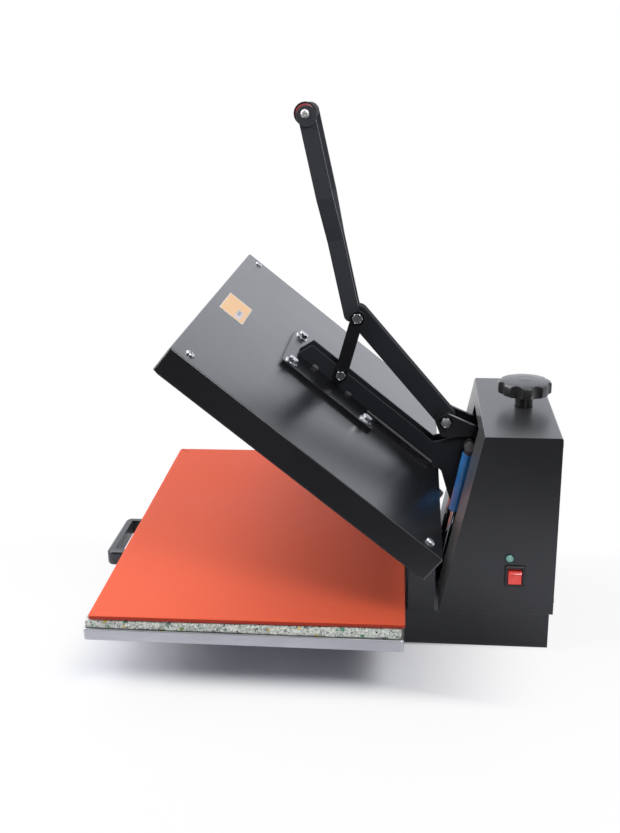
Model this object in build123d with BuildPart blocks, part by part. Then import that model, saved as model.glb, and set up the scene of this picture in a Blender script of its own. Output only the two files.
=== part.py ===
from build123d import *
from math import atan2, cos, degrees, hypot, radians, sin
import os

# Clamshell heat press, 40 x 60 cm class, standing open.
# Millimetres, +Z up, -Y towards the operator, +X the operator's right.
# The origin is on the floor, under the middle of the whole press.

# ---- Driving dimensions -------------------------------------------------------------------------

platen_width = 600.0          # both platens, across the press
pad_depth = 400.0             # lower plate, front to back
upper_depth = 405.0           # upper platen, front to back
open_angle = 39.24            # swing of the upper platen from closed to open
running_gap = 0.08            # radial play of a pin in its hole
face_gap = 0.4                # play between faces that slide or part

foot_height = 4.0
foot_radius = 14.0
foot_inset = 26.0
foot_stud_radius = 3.0

tower_width = 267.0           # base, riser and tower cover
sheet = 2.0                   # folded sheet of base, riser and cover
base_height = 51.0
base_setback = 12.0           # base front behind the plate's front edge
base_rear_behind_pad = 195.0
carriage_height = 34.0        # base top to underside of the lower plate

plate_thickness = 15.0
foam_thickness = 12.5
silicone_thickness = 6.5
foam_inset = 1.0
silicone_inset = 5.0
foam_corner = 2.0
pad_corner = 4.0

housing_thickness = 36.0
housing_wall = 1.5
heating_plate_thickness = 12.0
heating_plate_inset = 2.5

cover_height = 254.0
cover_front_behind_pad = 46.0
cover_slope_run = 54.0        # how far the cover's front leans back over its height
cover_rear_behind_pad = 200.0
front_opening_width = 108.0
front_lip = 17.0

hinge_behind_pad = 98.0       # main hinge, level with the pad's top
hinge_shaft_radius = 10.0
hinge_lobe_radius = 20.0

lever_pivot_offset = (-45.4, 169.0)   # lever pivot from the main hinge, (Y, Z)
lever_length = 191.9
lever_angle = 130.2           # arm direction from the pivot, from +Y
handle_length = 280.0         # elbow pin to grip axis
handle_angle = 103.7
lever_half_width = 11.0
lever_arm_depth = 28.0
lever_wall = 3.0

bar_width = 22.3
bar_thickness = 5.0
bar_front_at_grip = -0.5      # bar centre ahead of the line from elbow pin to grip
bar_front_at_elbow = 7.5
bar_spread = 31.2             # inner face of a handle bar at the grip
bar_corner = 10.0             # round of the bar's front corner at the elbow
joggle_start = 112.0
joggle_end = 172.0
grip_radius = 12.0
grip_cap_radius = 15.0
grip_cap_thickness = 6.0
grip_bolt_radius = 4.0

link_pin_local = (upper_depth - 199.4, 23.3)    # on the upper platen: along it and above its top
spring_pin_local = (upper_depth + 2.7, 61.3)
link_half_width = 9.0
link_thickness = 5.0
link_gap = 0.5
pin_radius = 5.0
bolt_head_radius = 7.5        # across the corners
bolt_head_height = 6.0
washer_radius = 9.8
washer_thickness = 1.6

arm_half_width = 16.0
arm_wall = 4.5
arm_top = 28.5                # above the platen's top
arm_lift = 3.0                # underside of the arm behind its bracket plate
arm_front = upper_depth - 264
bracket_front = upper_depth - 281
bracket_rear = upper_depth - 125
bracket_width = 160.0
bracket_thickness = 6.0

yoke_inner = 19.0
yoke_wall = 6.0
tower_plate_inner = 44.0
tower_plate_wall = 6.0
knob_behind_pad = 161.0
screw_radius = 8.0
knob_radius = 37.0
knob_lobes = 8
knob_thickness = 17.0
knob_stem_radius = 11.5
knob_stem_length = 20.0

spring_x = 31.0               # gas spring from the press's middle
spring_foot_behind_pad = 50.0
spring_foot_height = 24.0     # lower spring pin above the base
spring_tube_radius = 7.5
spring_tube_length = 100.0    # upper pin to the tube's mouth
spring_rod_radius = 3.5
spring_rod_length = 126.0
spring_mouth_play = 1.9        # rod to the tube's mouth, for the change of line on the swing
spring_eye_radius = 8.0
spring_eye_thickness = 8.0
spring_pin_radius = 4.0

rail_x = 95.0
rail_width = 20.0
rail_height = 14.0
drawer_handle_width = 122.0
drawer_handle_reach = 39.0
drawer_handle_height = 22.0
drawer_handle_bar = 11.0

# ---- Places worked out from them ----------------------------------------------------------------

cover_screw_head = 2.4
pad_front_y = (drawer_handle_reach - pad_depth - cover_rear_behind_pad - cover_screw_head) / 2
base_bottom = foot_height
base_top = base_bottom + base_height
plate_bottom = base_top + carriage_height
plate_top = plate_bottom + plate_thickness
foam_top = plate_top + foam_thickness
pad_top = foam_top + silicone_thickness
pad_rear_y = pad_front_y + pad_depth

hinge = (pad_rear_y + hinge_behind_pad, pad_top)
closed_front = (pad_rear_y - upper_depth, pad_top + face_gap + housing_thickness)


def turned(point, pivot, angle):
    """A (Y, Z) point turned about a pivot, anticlockwise seen from +X."""
    dy, dz = point[0] - pivot[0], point[1] - pivot[1]
    c, s = cos(radians(angle)), sin(radians(angle))
    return (pivot[0] + dy * c - dz * s, pivot[1] + dy * s + dz * c)


def reach(point, angle, length):
    """The (Y, Z) point at a length and direction from another."""
    return (point[0] + length * cos(radians(angle)), point[1] + length * sin(radians(angle)))


open_front = turned(closed_front, hinge, -open_angle)


def on_platen(local):
    """(Y, Z) of a point given along and above the open upper platen."""
    return reach(reach(open_front, -open_angle, local[0]), 90 - open_angle, local[1])


lever_pivot = (hinge[0] + lever_pivot_offset[0], hinge[1] + lever_pivot_offset[1])
elbow = reach(lever_pivot, lever_angle, lever_length)
grip = reach(elbow, handle_angle, handle_length)
link_pin = on_platen(link_pin_local)
link_length = hypot(elbow[0] - link_pin[0], elbow[1] - link_pin[1])
link_angle = degrees(atan2(elbow[1] - link_pin[1], elbow[0] - link_pin[0]))
spring_pin = on_platen(spring_pin_local)
spring_foot = (pad_rear_y + spring_foot_behind_pad, base_top + spring_foot_height)
spring_angle = degrees(atan2(spring_foot[1] - spring_pin[1], spring_foot[0] - spring_pin[0]))
hinge_local = (hinge[0] - closed_front[0], hinge[1] - closed_front[1])

cover_top = base_top + cover_height
cover_rear_y = pad_rear_y + cover_rear_behind_pad
cover_foot_y = pad_rear_y + cover_front_behind_pad
cover_brow_y = cover_foot_y + cover_slope_run
base_front_y = pad_front_y + base_setback
base_rear_y = pad_rear_y + base_rear_behind_pad
knob_y = pad_rear_y + knob_behind_pad
half_tower = tower_width / 2
yoke_outer = yoke_inner + yoke_wall
pivot_pin_radius = pin_radius + 1
link_inner = arm_half_width + link_gap
link_outer = link_inner + link_thickness
bar_inner_low = lever_half_width


def side_plane(origin, angle, x=0.0):
    """A plane facing +X, its x axis at an angle from +Y, its origin at a (Y, Z) point."""
    direction = (0, cos(radians(angle)), sin(radians(angle)))
    return Plane(origin=(x, origin[0], origin[1]), x_dir=direction, z_dir=(1, 0, 0))


def platen_side(x=0.0):
    """Facing +X: x runs back along the open upper platen, y up from its top."""
    return side_plane(open_front, -open_angle, x)


def platen_face(height=0.0):
    """On the open upper platen's top: x across the press, y back along it."""
    start = on_platen((0, height))
    normal = (0, sin(radians(open_angle)), cos(radians(open_angle)))
    return Plane(origin=(0, start[0], start[1]), x_dir=(1, 0, 0), z_dir=normal)


def low_face(side, inner, thickness):
    """The lower X of a plate whose inner face is this far from the middle, on either side."""
    return inner if side > 0 else -inner - thickness


SIDES = (("right", 1), ("left", -1))


def finish(builder, name):
    builder.part.label = name
    export_step(builder.part, f"parts/{name}.step")


os.makedirs("parts", exist_ok=True)

# ---- Base ---------------------------------------------------------------------------------------

base_length = base_rear_y - base_front_y
base_mid_y = (base_rear_y + base_front_y) / 2
foot_spots = [(x, y) for x in (foot_inset - half_tower, half_tower - foot_inset)
              for y in (base_front_y + foot_inset, base_rear_y - foot_inset)]

with BuildPart() as base_frame:
    with BuildSketch(Plane.XY.offset(base_bottom + sheet)):
        with Locations((0, base_mid_y)):
            Rectangle(tower_width, base_length)
    extrude(amount=base_height - sheet)
    fillet(base_frame.edges().group_by(Axis.Z)[-1], 1.5)
    offset(amount=-sheet, openings=base_frame.faces().sort_by(Axis.Z)[0])
finish(base_frame, "base_frame")

with BuildPart() as base_bottom_plate:
    with BuildSketch(Plane.XY.offset(base_bottom)):
        with Locations((0, base_mid_y)):
            Rectangle(tower_width, base_length)
    extrude(amount=sheet)
    with BuildSketch(Plane.XY.offset(base_bottom)):
        with Locations(foot_spots):
            Circle(foot_stud_radius + 2 * running_gap)
    extrude(amount=sheet, mode=Mode.SUBTRACT)
finish(base_bottom_plate, "base_bottom_plate")

with BuildPart() as rubber_feet:
    with BuildSketch(Plane.XY):
        with Locations(foot_spots):
            Circle(foot_radius)
    extrude(amount=foot_height, taper=-6)
    with BuildSketch(Plane.XY.offset(foot_height)):
        with Locations(foot_spots):
            Circle(foot_stud_radius)
    extrude(amount=8)
finish(rubber_feet, "rubber_feet")

riser_front_y = pad_rear_y + 4
riser_rear_y = pad_rear_y + 40
riser_top = pad_top - 3
riser_recess = 2 * (tower_plate_inner + tower_plate_wall) + 10

with BuildPart() as rear_riser:
    with BuildSketch(Plane.XY.offset(base_top)):
        with Locations((0, (riser_front_y + riser_rear_y) / 2)):
            Rectangle(tower_width, riser_rear_y - riser_front_y)
        with Locations((0, riser_rear_y)):
            Rectangle(riser_recess, 2 * 24, mode=Mode.SUBTRACT)
    extrude(amount=riser_top - base_top)
    offset(amount=-sheet, openings=rear_riser.faces().sort_by(Axis.Z)[0])
finish(rear_riser, "rear_riser")

rail_start_y = base_front_y + 8
rail_length = pad_rear_y - rail_start_y - 4

with BuildPart() as slide_rails:
    with BuildSketch(Plane.XZ.offset(-rail_start_y)):
        for _, side in SIDES:
            with Locations((side * rail_x, base_top + rail_height / 2)):
                RectangleRounded(rail_width, rail_height, 1.5)
                RectangleRounded(rail_width - 6, rail_height - 6, 1, mode=Mode.SUBTRACT)
    extrude(amount=-rail_length)
finish(slide_rails, "slide_rails")

# ---- Tower: plates that carry the hinge and guide the yoke ----------------------------------------

tower_front_gap = 6.0
tower_plate_top = cover_top - sheet - 12
tower_rear_y = knob_y + 30
yoke_guide_bottom = lever_pivot[1] - 33
yoke_guide_height = 26.0


def cover_front_at(z):
    """Y of the cover's sloping front at a height."""
    return cover_foot_y + cover_slope_run * (z - base_top) / cover_height


for name, side in SIDES:
    with BuildPart() as tower_plate:
        with BuildSketch(side_plane((0, 0), 0, low_face(side, tower_plate_inner, tower_plate_wall))):
            with BuildLine():
                Polyline(
                    (cover_front_at(base_top) + tower_front_gap, base_top),
                    (tower_rear_y, base_top),
                    (tower_rear_y, tower_plate_top),
                    (cover_front_at(tower_plate_top) + tower_front_gap, tower_plate_top),
                    close=True)
            make_face()
            with Locations(hinge):
                Circle(hinge_shaft_radius + running_gap, mode=Mode.SUBTRACT)
        extrude(amount=tower_plate_wall)
    finish(tower_plate, f"tower_plate_{name}")

tower_outer = tower_plate_inner + tower_plate_wall
flange_width = 22.0
flange_front_y = cover_foot_y + tower_front_gap + 2
with BuildPart() as tower_flanges:
    for _, side in SIDES:
        with BuildSketch(Plane.XY.offset(base_top)):
            with Locations((side * (tower_outer + flange_width / 2), (tower_rear_y + flange_front_y) / 2)):
                Rectangle(flange_width, tower_rear_y - flange_front_y)
        extrude(amount=4)
finish(tower_flanges, "tower_flanges")

tie_thickness = 8.0
with BuildPart() as tower_tie_plate:
    with BuildSketch(Plane.XY.offset(tower_plate_top)):
        with Locations((0, knob_y)):
            RectangleRounded(2 * tower_outer, 56, 4)
            Circle(screw_radius + running_gap, mode=Mode.SUBTRACT)
    extrude(amount=tie_thickness)
finish(tower_tie_plate, "tower_tie_plate")

shaft_half = tower_outer
with BuildPart() as hinge_shaft:
    with BuildSketch(side_plane(hinge, 0, -shaft_half - 5)):
        Circle(hinge_shaft_radius)
    extrude(amount=2 * shaft_half + 10)
    for _, side in SIDES:
        with BuildSketch(side_plane(hinge, 0, low_face(side, shaft_half + running_gap, 5))):
            Circle(hinge_shaft_radius + 5)
        extrude(amount=5)
        spacer = tower_plate_inner - arm_half_width - 2 * face_gap
        with BuildSketch(side_plane(hinge, 0, low_face(side, arm_half_width + face_gap, spacer))):
            Circle(hinge_shaft_radius + 4)
        extrude(amount=spacer)
    chamfer(hinge_shaft.faces().group_by(Axis.X)[0].edges(), 1)
    chamfer(hinge_shaft.faces().group_by(Axis.X)[-1].edges(), 1)
finish(hinge_shaft, "hinge_shaft")

foot_clevis_gap = spring_eye_thickness + 1
with BuildPart() as spring_feet:
    for _, side in SIDES:
        with BuildSketch(Plane.XY.offset(base_top)):
            with Locations((side * spring_x, spring_foot[0])):
                Rectangle(foot_clevis_gap + 6, 18)
        extrude(amount=3)
        for x in (spring_x - foot_clevis_gap / 2 - 3, spring_x + foot_clevis_gap / 2):
            with BuildSketch(side_plane(spring_foot, 0, low_face(side, x, 3))):
                Circle(7)
                with Locations((0, -spring_foot_height / 2)):
                    Rectangle(14, spring_foot_height)
            extrude(amount=3)
        with BuildSketch(side_plane(spring_foot, 0, low_face(side, spring_x - 10, 20))):
            Circle(spring_pin_radius)
        extrude(amount=20)
finish(spring_feet, "spring_feet")

# ---- Tower: cover and what it carries -------------------------------------------------------------

switch_centre = (pad_rear_y + 146.6, base_bottom + 107.4)
switch_bezel = (27.4, 30.4)
switch_body = (22.0, 25.0)
lamp_centre = (pad_rear_y + 138.6, base_bottom + 133.5)
lamp_body_radius = 5.0
lamp_bezel_radius = 6.2
inlet_centre = (76.0, base_top + 42)
inlet_body = (27.0, 20.0)
inlet_flange = (50.0, 25.0)
controller_centre = (pad_rear_y + 150, base_top + 150)
controller_body = (92.0, 62.0)
controller_bezel = (104.0, 74.0)
vent_count = 7
vent_pitch = 13.0
cover_screw_spots = [(x, z) for x in (-half_tower + 14, half_tower - 14)
                     for z in (base_top + 14, cover_top - 14)]

rear_plane = Plane(origin=(0, cover_rear_y, 0), x_dir=(-1, 0, 0), z_dir=(0, 1, 0))

with BuildPart() as rear_cover:
    with BuildSketch(side_plane((0, 0), 0, -half_tower)):
        with BuildLine():
            Polyline(
                (cover_foot_y, base_top),
                (cover_rear_y, base_top),
                (cover_rear_y, cover_top),
                (cover_brow_y, cover_top),
                close=True)
        make_face()
    extrude(amount=tower_width)
    fillet(rear_cover.edges().filter_by(Axis.X).group_by(Axis.Z)[-1], 3)
    offset(amount=-sheet, openings=rear_cover.faces().sort_by(Axis.Z)[0])
    with BuildSketch(Plane.XZ.offset(-cover_foot_y + 20)):
        with Locations((0, base_top + (cover_height - front_lip) / 2)):
            Rectangle(front_opening_width, cover_height - front_lip)
    extrude(amount=-(cover_slope_run + 24), mode=Mode.SUBTRACT)
    with BuildSketch(Plane.XY.offset(cover_top - 2 * sheet)):
        with Locations((0, knob_y)):
            Circle(knob_stem_radius + 1.5)
    extrude(amount=4 * sheet, mode=Mode.SUBTRACT)
    with BuildSketch(side_plane((0, 0), 0, half_tower - 2 * sheet)):
        with Locations(switch_centre):
            Rectangle(*switch_body)
        with Locations(lamp_centre):
            Circle(lamp_body_radius)
    extrude(amount=4 * sheet, mode=Mode.SUBTRACT)
    with BuildSketch(side_plane((0, 0), 0, -half_tower - 2 * sheet)):
        with Locations(controller_centre):
            Rectangle(*controller_body)
    extrude(amount=4 * sheet, mode=Mode.SUBTRACT)
    with BuildSketch(rear_plane.offset(-2 * sheet)):
        with Locations((-inlet_centre[0], inlet_centre[1])):
            Rectangle(*inlet_body)
        with Locations((0, base_top + 150)):
            with GridLocations(0, vent_pitch, 1, vent_count):
                SlotOverall(90, 4.5)
        with Locations([(-x, z) for x, z in cover_screw_spots]):
            Circle(2.1)
    extrude(amount=4 * sheet, mode=Mode.SUBTRACT)
finish(rear_cover, "rear_cover")

with BuildPart() as cover_screws:
    with BuildSketch(rear_plane):
        with Locations([(-x, z) for x, z in cover_screw_spots]):
            Circle(4.2)
    extrude(amount=cover_screw_head, taper=12)
    with BuildSketch(rear_plane.offset(-8)):
        with Locations([(-x, z) for x, z in cover_screw_spots]):
            Circle(2.0)
    extrude(amount=8)
finish(cover_screws, "cover_screws")

switch_half_angle = 7.0
rocker = (19.0, 22.0)
rocker_depth = 4.0              # pivot behind the cover's face
rocker_pin_radius = 1.6
with BuildPart() as switch_housing:
    with BuildSketch(side_plane(switch_centre, 0, half_tower)):
        RectangleRounded(*switch_bezel, 2)
    extrude(amount=3.0)
    with BuildSketch(side_plane(switch_centre, 0, half_tower - 24)):
        Rectangle(switch_body[0] - 0.4, switch_body[1] - 0.4)
    extrude(amount=24)
    with BuildSketch(side_plane(switch_centre, 0, half_tower - 12)):
        Rectangle(rocker[0] + 0.8, rocker[1] + 0.8)
    extrude(amount=20, mode=Mode.SUBTRACT)
    for z in (-7, 7):
        with BuildSketch(side_plane(switch_centre, 0, half_tower - 34)):
            with Locations((0, z)):
                Rectangle(6.3, 0.8)
        extrude(amount=10)
    chamfer(switch_housing.faces().sort_by(Axis.X)[-1].outer_wire().edges(), 1)
    with BuildSketch(Plane.XZ.offset(-switch_centre[0] - switch_body[0] / 2)):
        with Locations((half_tower - rocker_depth, switch_centre[1])):
            Circle(rocker_pin_radius + running_gap)
    extrude(amount=switch_body[0], mode=Mode.SUBTRACT)
finish(switch_housing, "switch_housing")

# The rocker turns about a pin along Y; at rest its top half stands proud.
rocker_tilt = radians(switch_half_angle)
rocker_plane = Plane(
    origin=(half_tower - rocker_depth, switch_centre[0] + rocker[0] / 2, switch_centre[1]),
    x_dir=(cos(rocker_tilt), 0, -sin(rocker_tilt)), z_dir=(0, -1, 0))
with BuildPart() as power_rocker:
    with BuildSketch(rocker_plane):
        with BuildLine():
            Polyline(
                (-3.5, 3.5 - rocker[1] / 2), (-3.5, rocker[1] / 2 - 3.5), (8, rocker[1] / 2 - 0.8),
                (6.2, 0), (8, 0.8 - rocker[1] / 2), close=True)
        make_face()
    extrude(amount=rocker[0])
    fillet(power_rocker.edges().filter_by(Axis.Y).group_by(Axis.X)[-1], 1.2)
    with BuildSketch(Plane.XZ.offset(-switch_centre[0] - rocker[0] / 2 - 1)):
        with Locations((half_tower - rocker_depth, switch_centre[1])):
            Circle(rocker_pin_radius)
    extrude(amount=rocker[0] + 2)
finish(power_rocker, "power_rocker")

with BuildPart() as indicator_lamp:
    with BuildSketch(side_plane(lamp_centre, 0, half_tower)):
        Circle(lamp_bezel_radius)
    extrude(amount=1.4)
    with BuildSketch(side_plane(lamp_centre, 0, half_tower - 16)):
        Circle(lamp_body_radius - 0.1)
    extrude(amount=16)
    with BuildSketch(side_plane(lamp_centre, 0, half_tower + 1.4)):
        Circle(lamp_body_radius - 0.4)
    extrude(amount=2.6)
    chamfer(indicator_lamp.edges().group_by(Axis.X)[-1], 1.5)
finish(indicator_lamp, "indicator_lamp")

inlet_at = Plane(origin=(inlet_centre[0], cover_rear_y, inlet_centre[1]), x_dir=(-1, 0, 0), z_dir=(0, 1, 0))
with BuildPart() as power_inlet:
    with BuildSketch(inlet_at):
        RectangleRounded(*inlet_flange, 6)
        with GridLocations(40, 0, 2, 1):
            Circle(1.8, mode=Mode.SUBTRACT)
    extrude(amount=2.2)
    with BuildSketch(inlet_at.offset(-22)):
        Rectangle(inlet_body[0] - 0.4, inlet_body[1] - 0.4)
    extrude(amount=22)
    with BuildSketch(inlet_at.offset(-15)):
        with BuildLine():
            Polyline((-12, -7.5), (12, -7.5), (12, 2), (7, 7.5), (-7, 7.5), (-12, 2), close=True)
        make_face()
    extrude(amount=20, mode=Mode.SUBTRACT)
    with BuildSketch(inlet_at.offset(-15)):
        with Locations((-7, -2), (7, -2), (0, 2)):
            Rectangle(2, 4)
    extrude(amount=12)
finish(power_inlet, "power_inlet")

controller_plane = Plane(
    origin=(-half_tower, controller_centre[0], controller_centre[1]), x_dir=(0, -1, 0), z_dir=(-1, 0, 0))
with BuildPart() as temperature_controller:
    with BuildSketch(controller_plane):
        RectangleRounded(*controller_bezel, 5)
    extrude(amount=4)
    chamfer(temperature_controller.faces().sort_by(Axis.X)[0].outer_wire().edges(), 1.2)
    with BuildSketch(controller_plane.offset(-45)):
        Rectangle(controller_body[0] - 0.4, controller_body[1] - 0.4)
    extrude(amount=45)
    with BuildSketch(controller_plane.offset(3)):
        with Locations((0, 11)):
            Rectangle(70, 28)
        with Locations((0, -21)):
            with GridLocations(20, 0, 4, 1):
                Rectangle(14, 10)
    extrude(amount=2, mode=Mode.SUBTRACT)
finish(temperature_controller, "temperature_controller")

# ---- Pressure adjuster: knob, screw and the yoke that it lifts ------------------------------------

knob_base = cover_top + knob_stem_length
screw_foot = yoke_guide_bottom - 22

with BuildPart() as pressure_knob:
    with BuildSketch(Plane.XZ.offset(-knob_y)):
        with BuildLine():
            Polyline(
                (screw_radius, cover_top - 6),
                (knob_stem_radius, cover_top - 6),
                (knob_stem_radius, knob_base),
                (knob_radius - 9, knob_base + 4),
                (knob_radius, knob_base + 7),
                (knob_radius, knob_base + knob_thickness))
            ThreePointArc(
                (knob_radius, knob_base + knob_thickness),
                (knob_radius / 2, knob_base + knob_thickness + 2.6),
                (0, knob_base + knob_thickness + 3.4))
            Polyline(
                (0, knob_base + knob_thickness + 3.4),
                (0, knob_base + knob_thickness - 6),
                (screw_radius, knob_base + knob_thickness - 6),
                (screw_radius, cover_top - 6))
        make_face()
    revolve(axis=Axis((0, knob_y, 0), (0, 0, 1)))
    with BuildSketch(Plane.XY.offset(knob_base - 1)):
        with Locations((0, knob_y)):
            with PolarLocations(knob_radius + 5.5, knob_lobes, start_angle=180 / knob_lobes):
                Circle(10.5)
    extrude(amount=knob_thickness + 8, mode=Mode.SUBTRACT)
finish(pressure_knob, "pressure_knob")

with BuildPart() as pressure_screw:
    with BuildSketch(Plane.XY.offset(screw_foot)):
        with Locations((0, knob_y)):
            Circle(screw_radius)
    extrude(amount=knob_base + knob_thickness - 6 - screw_foot)
    chamfer(pressure_screw.edges().group_by(Axis.Z)[0], 1.5)
    with BuildSketch(Plane.XY.offset(tower_plate_top - 5 - face_gap)):
        with Locations((0, knob_y)):
            Circle(screw_radius + 4)
    extrude(amount=5)
finish(pressure_screw, "pressure_screw")

yoke_top_front = lever_pivot[1] + 11.5
yoke_plate_rear_y = knob_y - 20
with BuildPart() as hinge_yoke:
    for _, side in SIDES:
        with BuildSketch(side_plane((0, 0), 0, low_face(side, yoke_inner, yoke_wall))):
            with BuildLine():
                Polyline(
                    (lever_pivot[0] - 16, lever_pivot[1] + 2),
                    (lever_pivot[0] - 11, yoke_top_front),
                    (lever_pivot[0] + 2, yoke_top_front),
                    (lever_pivot[0] + 35, yoke_top_front - 15),
                    (lever_pivot[0] + 46, yoke_top_front - 18.5),
                    (yoke_plate_rear_y, yoke_top_front - 18.5),
                    (yoke_plate_rear_y, yoke_guide_bottom),
                    (lever_pivot[0] + 62, yoke_guide_bottom),
                    (lever_pivot[0] + 48, spring_pin[1] + 11),
                    (lever_pivot[0] + 20, spring_pin[1] + 11),
                    (lever_pivot[0] + 6, lever_pivot[1] - 24),
                    (lever_pivot[0] - 7, lever_pivot[1] - 22),
                    close=True)
            make_face()
            with Locations(lever_pivot):
                Circle(pivot_pin_radius + running_gap, mode=Mode.SUBTRACT)
        extrude(amount=yoke_wall)
    fillet(hinge_yoke.edges().filter_by(Axis.X).filter_by_position(
        Axis.Y, lever_pivot[0] - 17, lever_pivot[0] + 3), 3)
    with BuildSketch(Plane.XY.offset(yoke_guide_bottom)):
        with Locations((0, knob_y)):
            Rectangle(2 * (tower_plate_inner - face_gap), 40)
            Circle(screw_radius + running_gap, mode=Mode.SUBTRACT)
    extrude(amount=yoke_guide_height)
finish(hinge_yoke, "hinge_yoke")


with BuildPart() as lever_pivot_bolt:
    with BuildSketch(side_plane(lever_pivot, 0, -yoke_outer)):
        Circle(pivot_pin_radius)
    extrude(amount=2 * yoke_outer)
    for _, side in SIDES:
        with BuildSketch(side_plane(lever_pivot, 0, low_face(side, yoke_outer, washer_thickness))):
            Circle(washer_radius)
        extrude(amount=washer_thickness)
        head_x = low_face(side, yoke_outer + washer_thickness, bolt_head_height)
        with BuildSketch(side_plane(lever_pivot, 0, head_x)):
            RegularPolygon(bolt_head_radius, 6)
        extrude(amount=bolt_head_height)
finish(lever_pivot_bolt, "lever_pivot_bolt")

# ---- Lever: arm tube, joggled handle bars, grip ---------------------------------------------------

with BuildPart() as lever_arm:
    with BuildSketch(side_plane(lever_pivot, lever_angle, -lever_half_width)):
        with Locations((lever_length / 2, 0)):
            SlotCenterToCenter(lever_length, lever_arm_depth)
    extrude(amount=2 * lever_half_width)
    with BuildSketch(side_plane(lever_pivot, lever_angle, -lever_half_width + lever_wall)):
        with Locations((lever_length / 2, 0)):
            SlotCenterToCenter(lever_length, lever_arm_depth - 2 * lever_wall)
    extrude(amount=2 * (lever_half_width - lever_wall), mode=Mode.SUBTRACT)
    for centre, radius in ((lever_pivot, pivot_pin_radius), (elbow, pin_radius)):
        with BuildSketch(side_plane(centre, 0, -lever_half_width)):
            Circle(radius + 3.5)
        extrude(amount=2 * lever_half_width)
        with BuildSketch(side_plane(centre, 0, -lever_half_width)):
            Circle(radius + running_gap)
        extrude(amount=2 * lever_half_width, mode=Mode.SUBTRACT)
finish(lever_arm, "lever_arm")

with BuildPart() as pivot_spacers:
    for _, side in SIDES:
        length = yoke_inner - lever_half_width - 2 * face_gap
        with BuildSketch(side_plane(lever_pivot, 0, low_face(side, lever_half_width + face_gap / 2, length))):
            Circle(pivot_pin_radius + 4)
            Circle(pivot_pin_radius + running_gap, mode=Mode.SUBTRACT)
        extrude(amount=length)
finish(pivot_spacers, "pivot_spacers")

bar_outer_low = bar_inner_low + bar_thickness
bar_mid_low = bar_inner_low + bar_thickness / 2
bar_mid_high = bar_spread + bar_thickness / 2
bar_lean = degrees(atan2(bar_front_at_elbow - bar_front_at_grip, handle_length))
bar_end = handle_length + bar_width / 2

for name, side in SIDES:
    # Each strip is bent across the press, then cut to its outline as seen from the side.
    foot = reach(elbow, handle_angle + 90, bar_front_at_elbow)
    strip_angle = radians(handle_angle - bar_lean)
    strip_plane = Plane(
        origin=(0, *foot), x_dir=(0, cos(strip_angle), sin(strip_angle)),
        z_dir=(0, -sin(strip_angle), cos(strip_angle)))
    with BuildPart() as handle_bar:
        with BuildSketch(strip_plane.offset(-bar_width)):
            with BuildLine():
                Polyline(
                    (-2 * link_half_width, side * bar_inner_low),
                    (joggle_start, side * bar_inner_low),
                    (joggle_end, side * bar_spread),
                    (bar_end, side * bar_spread),
                    (bar_end, side * (bar_spread + bar_thickness)),
                    (joggle_end - 3, side * (bar_spread + bar_thickness)),
                    (joggle_start - 3, side * bar_outer_low),
                    (-2 * link_half_width, side * bar_outer_low),
                    close=True)
            make_face()
        extrude(amount=2 * bar_width)
        with BuildSketch(side_plane(foot, handle_angle - bar_lean, -2 * bar_spread)):
            with BuildLine():
                Polyline((0, -bar_width / 2), (handle_length, -bar_width / 2))
                ThreePointArc(
                    (handle_length, -bar_width / 2),
                    (bar_end, 0),
                    (handle_length, bar_width / 2))
                Polyline(
                    (handle_length, bar_width / 2),
                    (bar_corner / 2, bar_width / 2))
                ThreePointArc(
                    (bar_corner / 2, bar_width / 2),
                    (-0.207 * bar_corner, bar_width / 2 - 0.293 * bar_corner),
                    (-bar_corner / 2, bar_width / 2 - bar_corner))
                Polyline(
                    (-bar_corner / 2, bar_width / 2 - bar_corner),
                    (2 - link_half_width, -4),
                    (2 - link_half_width, -bar_front_at_elbow),
                    (0, -bar_width / 2))
            make_face()
            with Locations((0, -bar_front_at_elbow)):
                Circle(link_half_width)
        extrude(amount=4 * bar_spread, mode=Mode.INTERSECT)
        with BuildSketch(side_plane(elbow, 0, -2 * bar_spread)):
            Circle(pin_radius + running_gap)
        extrude(amount=4 * bar_spread, mode=Mode.SUBTRACT)
        with BuildSketch(side_plane(grip, 0, -2 * bar_spread)):
            Circle(grip_bolt_radius + running_gap)
        extrude(amount=4 * bar_spread, mode=Mode.SUBTRACT)
    finish(handle_bar, f"handle_bar_{name}")

with BuildPart() as grip_sleeve:
    with BuildSketch(side_plane(grip, 0, -bar_spread)):
        Circle(grip_radius)
        Circle(grip_bolt_radius + running_gap, mode=Mode.SUBTRACT)
    extrude(amount=2 * bar_spread)
    chamfer(grip_sleeve.edges().filter_by(GeomType.CIRCLE).group_by(SortBy.RADIUS)[-1], 1.2)
finish(grip_sleeve, "grip_sleeve")

bar_face_high = bar_spread + bar_thickness
with BuildPart() as grip_cap:
    with BuildSketch(side_plane(grip, 0, bar_face_high)):
        Circle(grip_cap_radius)
    extrude(amount=grip_cap_thickness)
    fillet(grip_cap.edges().group_by(Axis.X)[-1], grip_cap_thickness - 1.5)
    with BuildSketch(side_plane(grip, 0, bar_face_high + 2)):
        Circle(6.5)
    extrude(amount=grip_cap_thickness, mode=Mode.SUBTRACT)
    with BuildSketch(side_plane(grip, 0, bar_face_high - 1)):
        Circle(grip_bolt_radius + running_gap)
    extrude(amount=grip_cap_thickness, mode=Mode.SUBTRACT)
finish(grip_cap, "grip_cap")

with BuildPart() as grip_bolt:
    with BuildSketch(side_plane(grip, 0, -bar_face_high - 7)):
        Circle(grip_bolt_radius)
    extrude(amount=2 * bar_face_high + 9)
    with BuildSketch(side_plane(grip, 0, bar_face_high + 2)):
        Circle(5.8)
    extrude(amount=3.4, taper=14)
    with BuildSketch(side_plane(grip, 0, -bar_face_high - 6)):
        RegularPolygon(7.5, 6)
    extrude(amount=6)
finish(grip_bolt, "grip_bolt")

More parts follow.
